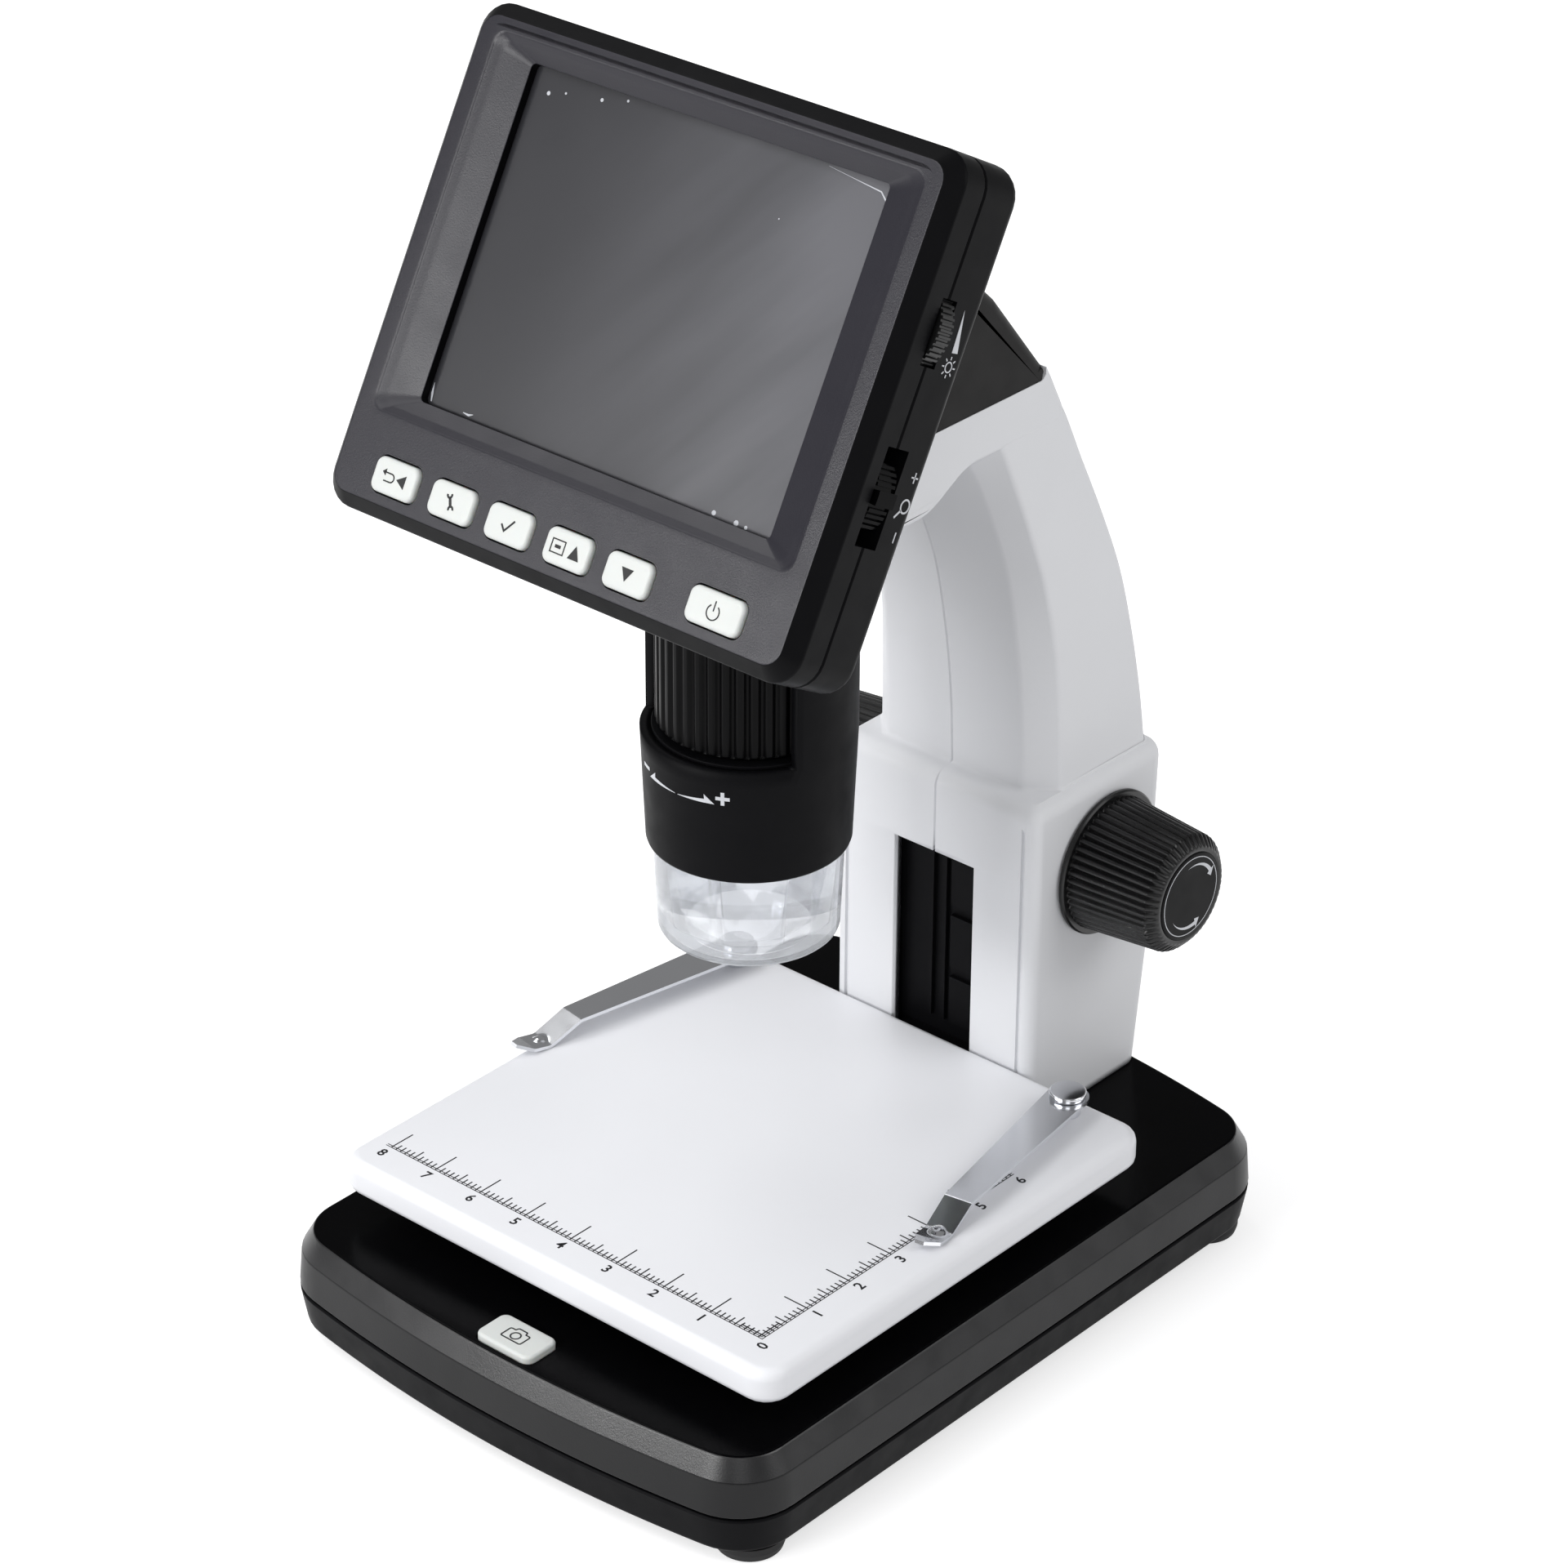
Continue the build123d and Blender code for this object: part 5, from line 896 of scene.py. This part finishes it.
# ---------------------------------------------------------------- focus ring
# Ribbed black moulded ring on a fine thread; turning it moves the lens cell up and down.
# Its ends are bevelled down to the foot of the ribs.
RING_R, RING_R_IN, RING_LOW, RING_TOP, RING_RIBS, RIB_DEPTH = 14.8, 11.6, 109.7, 135.0, 40, 0.65
# height, share of the ribs that shows, share of the bevel
RING_PROFILE = [(RING_LOW, 0.0, 1.0), (RING_LOW + 0.3, 0.0, 0.5), (RING_LOW + 0.7, 1.0, 0.0),
                (RING_TOP - 0.7, 1.0, 0.0), (RING_TOP - 0.3, 0.0, 0.5), (RING_TOP, 0.0, 1.0)]


def ribbed(radius, count, depth, per_rib=10, land=0.62):
    """Radius round a ribbed grip: flat lands with rounded grooves between, from a cosine that is
    cut off at the top."""
    a = np.linspace(0, 2 * np.pi, count * per_rib, endpoint=False)
    wave = np.clip((np.cos(a * count) + np.cos(np.pi * (1 - land))) * 1.6, -1, 1)
    return a, radius - depth * (0.5 - 0.5 * wave)


ring_black = stuff("ring_black", linear(6, 6, 7), 0.33, grain=0.5, depth=0.002, tint=0.1,
                   Specular_IOR_Level=0.08)
a, r = ribbed(RING_R, RING_RIBS, RIB_DEPTH)
ring_rows = []
for z, share, less in RING_PROFILE:
    radius = share * r + (1 - share) * (RING_R - RIB_DEPTH * less)
    ring_rows.append(on_lens(a, np.minimum(radius, RING_R - 0.15 * less), z))
ring_rows += [on_lens(a, RING_R_IN, RING_TOP), on_lens(a, RING_R_IN, RING_LOW), ring_rows[0]]
focus_grip = joined("focus_grip", [band(ring_rows, ends=())])
fitted(focus_grip, [ring_black], "lens_ring", "black_shell", "focus_ring", crease=45)

# ---------------------------------------------------------------- light cup
# Clear moulded cup that spreads the ring light: round outside, eight flat sides inside,
# with a round mouth at the bottom.
CUP_TOP, CUP_BOTTOM, CUP_SIDE_TOP, CUP_R_TOP, CUP_R_LOW, CUP_MOUTH_R = 95.0, 72.3, 88.8, 15.3, 14.6, 10.0
CUP_PROFILE = rounded([(13.0, CUP_TOP), (CUP_R_TOP, CUP_TOP), (CUP_R_TOP, CUP_SIDE_TOP),
                       (CUP_R_LOW, CUP_BOTTOM), (CUP_MOUTH_R, CUP_BOTTOM), (CUP_MOUTH_R, 74.6)],
                      [0, 0.2, 0.3, 1.4, 0.3, 0], closed=False)
# the eight flat sides: half their distance across at two heights, and the limit at their corners
CUP_FLATS, CUP_CORNER_R = ((10.3, 75.0), (12.75, 87.6)), 13.6
CUP_NECK_R, CUP_NECK_Z = 12.9, 89.0


def see_through(material, clear_share, edge_share):
    """Thin clear moulding: part of the light goes straight on, less of it where the surface is
    seen at a slant, as its two faces then bend and mirror more."""
    tree = material.node_tree
    straight = node(tree, "BsdfTransparent", Color=(0.90, 0.91, 0.93, 1))
    slant = node(tree, "LayerWeight", Blend=0.4)
    share = node(tree, "MapRange", slant["Facing"], To_Min=1 - clear_share, To_Max=1 - edge_share)
    mix = node(tree, "MixShader", share[0], straight[0], tree.nodes["Principled BSDF"].outputs[0])
    feed(tree, tree.nodes["Material Output"].inputs["Surface"], mix[0])


clear = stuff("clear_plastic", (0.86, 0.88, 0.91, 1), 0.06, grain=3.0, depth=0.002, tint=0.03, spread=0.03,
              Transmission_Weight=0.86, IOR=1.42)
see_through(clear, clear_share=0.5, edge_share=0.1)
# painted shade: a darker, less clear copy of the clear plastic for the thick rim of the mouth
clear_shaded_rim = stuff("clear_shaded_rim", (0.40, 0.42, 0.45, 1), 0.12, grain=3.0, depth=0.002, tint=0.1, spread=0.03)
see_through(clear_shaded_rim, clear_share=0.55, edge_share=0.3)
a = np.linspace(0, 2 * np.pi, 96, endpoint=False)
facet = 1 / np.cos((a + np.pi / 8) % (np.pi / 4) - np.pi / 8)
cup_rows = [on_lens(a, radius, z) for radius, z in CUP_PROFILE]
cup_rows += [on_lens(a, np.minimum(side * facet, CUP_CORNER_R), z) for side, z in CUP_FLATS]
cup_rows += [on_lens(a, CUP_NECK_R, CUP_NECK_Z), cup_rows[0]]
# the thick rim of the mouth is painted darker than the walls: painted shade
cup_tones = np.zeros(len(cup_rows) - 1, int)
cup_tones[len(CUP_PROFILE) - 4:len(CUP_PROFILE)] = 1
cup = joined("cup", [band(cup_rows, ends=(), tone=cup_tones)])
fitted(cup, [clear, clear_shaded_rim], "frame", "clear_plastic", "light_cup", crease=20)

# ---------------------------------------------------------------- stage plate
# Thick white plate with soft edges, moulded in one piece. It is screwed to the carriage,
# which carries it up and down, by a tongue that fits the groove under its rear.
STAGE_HALF_W, STAGE_FRONT, STAGE_REAR, STAGE_TOP, STAGE_T, STAGE_R = 47.0, -57.7, 36.35, 31.0, 6.2, 4.6
STAGE_LINE = rounded([(5, -STAGE_T), (0, -STAGE_T), (0, 0), (5, 0)], [0, 1.5, 1.9, 0], 6, closed=False)
GROOVE_W, GROOVE_L, GROOVE_Y, GROOVE_CEILING = 15.6, 21.0, 26.3, -2.2


def over_stage(y):
    """Plan measures from a place on the centre line, and height above the stage."""
    return lambda u, v, t: (u, v + y, t + STAGE_TOP)


stage_white = stuff("stage_white", linear(233, 234, 238), 0.38, grain=0.8, depth=0.0015, tint=0.01, patch=40)
plate_rows = pad(2 * STAGE_HALF_W, STAGE_REAR - STAGE_FRONT, STAGE_R, STAGE_LINE,
                 over_stage((STAGE_FRONT + STAGE_REAR) / 2))
groove_rows = pad(GROOVE_W, GROOVE_L, 0.3, [(0, -8), (0, GROOVE_CEILING)], over_stage(GROOVE_Y))
plate = carved(joined("plate", [band(plate_rows)]), [band(groove_rows)])
fitted(plate, [stage_white], "stage", "stage_white", "stage_plate", crease=40)

# ---------------------------------------------------------------- rule on the stage
# Printed in dark blue-black: a double line, millimetre ticks, longer ones at 5 mm and at
# whole centimetres, and figures outside the line.
RULE_X, RULE_Y, RULE_START, RULE_GAP = 39.0, -50.25, 0.85, 0.42
RULE_W, RULE_L, RULE_LINE, TICK_LINE, RULE_RISE = 82.0, 61.5, 0.16, 0.25, 0.02
FIGURE_SIZE, FIGURE_OUT = 2.76, 2.0

rule_ink = stuff("rule_ink", linear(12, 12, 18), 0.5, grain=0.2, depth=0.001, tint=0.1)
on_stage = over_stage(0.0)
rule = []
for gap in (0, RULE_GAP):
    rule.append((RULE_LINE, [(RULE_X - RULE_W, RULE_Y + gap), (RULE_X - gap, RULE_Y + gap),
                             (RULE_X - gap, RULE_Y + RULE_L)]))
for way, count in (((-1, 0), 80), ((0, 1), 60)):
    for k in range(count + 1):
        foot = np.array((RULE_X, RULE_Y)) + (RULE_START + k) * np.array(way)
        reach = 5.0 if k % 10 == 0 else 2.5 if k % 5 == 0 else 1.5
        rule.append((TICK_LINE, [foot, foot + reach * np.array((-way[1], -way[0]))]))
printed("rule_lines", rule_ink, "stage", "stage_white", on_stage, rule, rise=RULE_RISE)


def figure(sign, x, y, turn):
    """Mesh points and faces of one figure, its foot at a place, turned in degrees, as text set
    flat and made a mesh before it is placed."""
    text = bpy.data.curves.new("figure", "FONT")
    text.body, text.size, text.extrude, text.offset = sign, FIGURE_SIZE, RULE_RISE, 0.05
    text.align_x, text.align_y, text.resolution_u = "CENTER", "CENTER", 2
    holder = bpy.data.objects.new("figure", text)
    scene.collection.objects.link(holder)
    mesh = settled(holder)
    points = np.empty(len(mesh.vertices) * 3)
    mesh.vertices.foreach_get("co", points)
    u, v, t = points.reshape(-1, 3).T
    a = np.radians(turn)
    placed = points_on(on_stage, x + u * np.cos(a) - v * np.sin(a), y + u * np.sin(a) + v * np.cos(a), t)
    faces = [list(face.vertices) for face in mesh.polygons]
    bpy.data.objects.remove(holder)
    bpy.data.curves.remove(text)
    bpy.data.meshes.remove(mesh)
    return placed, faces, [0] * len(faces)


figures = [figure(str(k), RULE_X - 10 * k - RULE_START, RULE_Y - FIGURE_OUT - 0.1, 0) for k in range(1, 9)]
figures += [figure(str(k), RULE_X + FIGURE_OUT, RULE_Y + 10 * k + RULE_START, 90) for k in range(1, 7)]
figures.append(figure("0", RULE_X + 1.3, RULE_Y - 1.3, 90))
fitted(joined("rule_figures", figures, weld=1e-8), [rule_ink], "stage", "stage_white")

# ---------------------------------------------------------------- stage clips
# Two spring strips of chromed steel, each turning on a turned post. The strip steps down
# to a foot that presses on the specimen, with a pressed dimple and a curled tip.
CLIP_END_R, CLIP_T, CLIP_SWING, CLIP_LIFT = 3.6, 0.6, 9.5, 3.0
CLIP_BEND, CLIP_TOUCH, CLIP_TIP, CLIP_TIP_R = 35.6, 42.0, 48.0, 1.8
DIMPLE_R, DIMPLE_H, POST_HOLE_R = 1.15, 0.6, 1.56
POSTS = {"right": (34.0, 31.3, 1), "left": (-38.7, 30.9, -1)}
POST_PROFILE = rounded([(0.01, -3), (1.5, -3), (1.5, 0), (2.3, 0), (2.3, 2.6), (1.5, 2.6), (1.5, 3.36),
                        (3.1, 3.36), (3.1, 4.46), (0.01, 4.46)],
                       [0, 0.1, 0.1, 0.2, 0.1, 0.05, 0.05, 0.2, 0.3, 0], 4, closed=False)

chrome = stuff("chrome", (0.76, 0.77, 0.80, 1), 0.17, grain=0.6, depth=0.0002, tint=0.03, spread=0.02,
               stretch=(1, 0.15, 1), Metallic=1.0)
side_line = rounded([(CLIP_END_R, CLIP_LIFT), (-CLIP_BEND, CLIP_LIFT), (-CLIP_TOUCH, 0.3), (-45.2, 0.8),
                     (-CLIP_TIP, 1.9)], [0, 1.2, 2.2, 2.5, 0], 8, closed=False)
y = np.r_[side_line[1:, 0], CLIP_END_R * np.cos(np.linspace(0.02, np.pi / 2, 12)),
          np.linspace(-39.6, -45.4, 26)]
y = np.sort(y)[::-1]
y = y[np.r_[True, np.diff(y) < -0.02]]
path = np.column_stack((y, np.interp(-y, -side_line[:, 0], side_line[:, 1])))
way = unit(np.gradient(path, axis=0))
normal = np.column_stack((way[:, 1], -way[:, 0]))
taper = np.interp(-y, (0, CLIP_BEND, CLIP_TIP), (CLIP_END_R, 2.5, 2.35))
round_end = np.sqrt(np.clip(CLIP_END_R ** 2 - y ** 2, 0.0004, None))
past_tip = (CLIP_TIP_R - CLIP_TIP - y) / (CLIP_TIP_R + 0.1)
round_tip = taper * np.sqrt(np.clip(1 - past_tip ** 2, 0.09, 1))
half_w = np.select([y > 0, past_tip > 0], [round_end, round_tip], taper)
x = half_w[:, None] * np.linspace(-1, 1, 21)
# the dimple is a flat-topped bump just past the place where the foot touches
off_dimple = (x / DIMPLE_R) ** 2 + ((y[:, None] + CLIP_TOUCH + 0.6) / DIMPLE_R) ** 2
dimple = DIMPLE_H * np.exp(-off_dimple ** 2)
sheets = []
for lift in (CLIP_T / 2, -CLIP_T / 2):
    yy, zz = (path + normal * lift).T[:, :, None]
    sheets.append(np.stack(np.broadcast_arrays(x, yy, zz + dimple + STAGE_TOP), -1))
strip_rows = np.concatenate((sheets[0], sheets[1][:, ::-1]), axis=1)
for name, (px, py, side) in POSTS.items():
    swing = np.radians(side * CLIP_SWING)
    x, y, z = np.moveaxis(strip_rows, -1, 0)
    turned = np.dstack((px + x * np.cos(swing) - y * np.sin(swing),
                        py + x * np.sin(swing) + y * np.cos(swing), z))
    hole_line = [(POST_HOLE_R, STAGE_TOP), (POST_HOLE_R, STAGE_TOP + 6)]
    strip = carved(joined(name + "_strip", [band(turned)]), [band(lathe(hole_line, (px, py), 32))])
    fitted(strip, [chrome], name + "_clip", "chrome_clip", "clip_" + name, crease=50)
    post = joined(name + "_post", [band(lathe(POST_PROFILE + (0, STAGE_TOP), (px, py), 64))])
    fitted(post, [chrome], "stage", "chrome_clip", "clip_post_" + name, crease=40)

# ---------------------------------------------------------------- focus knobs
# Two tapered black grips with fine ribs on one steel shaft, each closed by a thin disc.
# On the disc a ring and two curved arrows are printed in grey.
DRIVE_Y, DRIVE_Z = 55.35, 64.0
FLANGE_X, FLANGE_R, KNOB_RIBS = 21.8, 12.8, 50
KNOB_FACE_X, CAP_R = 39.4, 7.8
# distance from the centre plane, radius, depth of the ribs
KNOB_PROFILE = [(FLANGE_X, 9.0, 0), (FLANGE_X, FLANGE_R - 0.3, 0), (FLANGE_X + 0.25, FLANGE_R, 0),
                (FLANGE_X + 0.75, FLANGE_R, 0), (FLANGE_X + 1.0, FLANGE_R - 0.3, 0),
                (FLANGE_X + 1.0, 11.75, 0.3), (FLANGE_X + 1.25, 11.7, 0.55), (37.5, 10.45, 0.55),
                (37.95, 10.2, 0.5), (38.9, 9.2, 0.28), (39.3, 8.75, 0.1), (KNOB_FACE_X, 8.4, 0),
                (KNOB_FACE_X, 8.05, 0), (39.3, CAP_R, 0), (38.7, CAP_R, 0)]
DISC_PROFILE = [(7.72, -0.8), (7.72, -0.12), (7.6, -0.02), (7.2, 0.0)]
RING_MARK_R, ARROW_R, ARROW_W, ARROW_HEAD = 7.0, 5.5, 0.75, (6.9, 5.6, 5.0)
ARROW_TURNS = ((100, 30), (215, 285))


def on_disc(side):
    """Measures on the face of one knob's disc, seen from its own side, and height above it."""
    return lambda u, v, t: (side * (KNOB_FACE_X + 0.06 + t), DRIVE_Y + side * u, DRIVE_Z + v)


grip_black = stuff("grip_black", linear(12, 12, 13), 0.33, grain=0.5, depth=0.003, tint=0.1,
                   Specular_IOR_Level=0.42)
disc_black = stuff("disc_black", linear(15, 15, 16), 0.4, grain=0.4, depth=0.001, tint=0.1,
                   Specular_IOR_Level=0.07)
a, wave = ribbed(1.0, KNOB_RIBS, 1.0, 8)
disc_marks = [(0.14, hoop(0, 0, RING_MARK_R, 72), "loop")]
for start, end in ARROW_TURNS:
    s = np.linspace(0, 1, 20)
    turn = np.radians(start + (end - start) * s)
    rays = np.column_stack((np.cos(turn), np.sin(turn)))
    point = np.radians(end + (end - start) * 0.17)
    outside, tip, inside = ARROW_HEAD
    head = [outside * rays[-1], (tip * np.cos(point), tip * np.sin(point)), inside * rays[-1]]
    back = ARROW_R * rays[::-1]
    disc_marks.append((None, np.vstack(((ARROW_R + ARROW_W * s)[:, None] * rays, head, back))))
for side, name in ((1, "right"), (-1, "left")):
    rows = []
    for x, radius, depth in KNOB_PROFILE:
        r = radius - depth * (1 - wave)
        y, z = DRIVE_Y + r * np.cos(a), DRIVE_Z + r * np.sin(a)
        rows.append(np.column_stack((np.full_like(a, side * x), y, z)))
    grip = joined(name + "_grip", [band(rows)])
    fitted(grip, [grip_black], "focus_drive", "knob_black", "knob_" + name, crease=35)
    disc_rows = [points_on(on_disc(side), *hoop(0, 0, radius, 72).T, t) for radius, t in DISC_PROFILE]
    disc = joined(name + "_disc", [band(disc_rows)])
    fitted(disc, [disc_black], "focus_drive", "knob_disc", "knob_cap_" + name)
    printed(name + "_disc_print", white_ink, "focus_drive", "knob_disc", on_disc(side), disc_marks,
            rise=0.03)

# ---------------------------------------------------------------- inner and small parts
# Parts that keep their machined or moulded shape: screws, shaft, rack and pinion, boards,
# battery, switches, sockets, lens cell, lamps and lens.
finishes = {
    "black_gloss_shell": black_gloss, "black_shell": black_satin, "bezel_shell": bezel_grey,
    "white_shell": white_shell, "stage_white": stage_white, "white_key": white_key,
    "foot_rubber": foot_rubber, "chrome_clip": chrome, "clear_plastic": clear, "knob_black": grip_black,
    "knob_disc": disc_black, "screen_glass": screen_grey,
    "steel_screw": stuff("zinc_screw", (0.42, 0.42, 0.43, 1), 0.38, grain=0.8, depth=0.004, tint=0.1,
                         Metallic=1.0),
    "steel_shaft": stuff("ground_steel", (0.50, 0.50, 0.52, 1), 0.28, grain=1.2, depth=0.002,
                         stretch=(0.1, 1, 1), Metallic=1.0),
    "brass_bush": stuff("turned_brass", (0.62, 0.44, 0.17, 1), 0.3, grain=1.0, depth=0.002,
                        stretch=(0.2, 1, 1), Metallic=1.0),
    "battery_wrap": stuff("battery_film", linear(44, 78, 142), 0.3, grain=2.5, depth=0.02, tint=0.12),
    "circuit_board": stuff("board_lacquer", linear(22, 92, 50), 0.32, grain=0.7, depth=0.01, patch=5,
                           tint=0.25),
    "chip": stuff("chip_epoxy", linear(34, 34, 36), 0.6, grain=0.3, depth=0.006),
    "led": stuff("led_phosphor", linear(240, 224, 150), 0.25, grain=0.5, depth=0.004, patch=2),
    "lens_glass": stuff("coated_lens", (0.72, 0.80, 0.92, 1), 0.03, grain=5, depth=0.001, tint=0.02,
                        spread=0.01, Transmission_Weight=0.8, IOR=1.6),
    "lcd_black": stuff("panel_black", linear(40, 40, 43), 0.3, grain=1.0, depth=0.001),
    "socket_metal": stuff("tinned_shell", (0.55, 0.55, 0.57, 1), 0.3, grain=0.7, depth=0.003, Metallic=1.0),
    "rack_plastic": stuff("acetal_white", linear(215, 215, 210), 0.45, grain=0.6, depth=0.004),
}
for subpart in frame["record"]["subparts"]:
    for slot in frame["nodes"][subpart["node"]].material_slots:
        slot.material = finishes[subpart["material_slot"]]
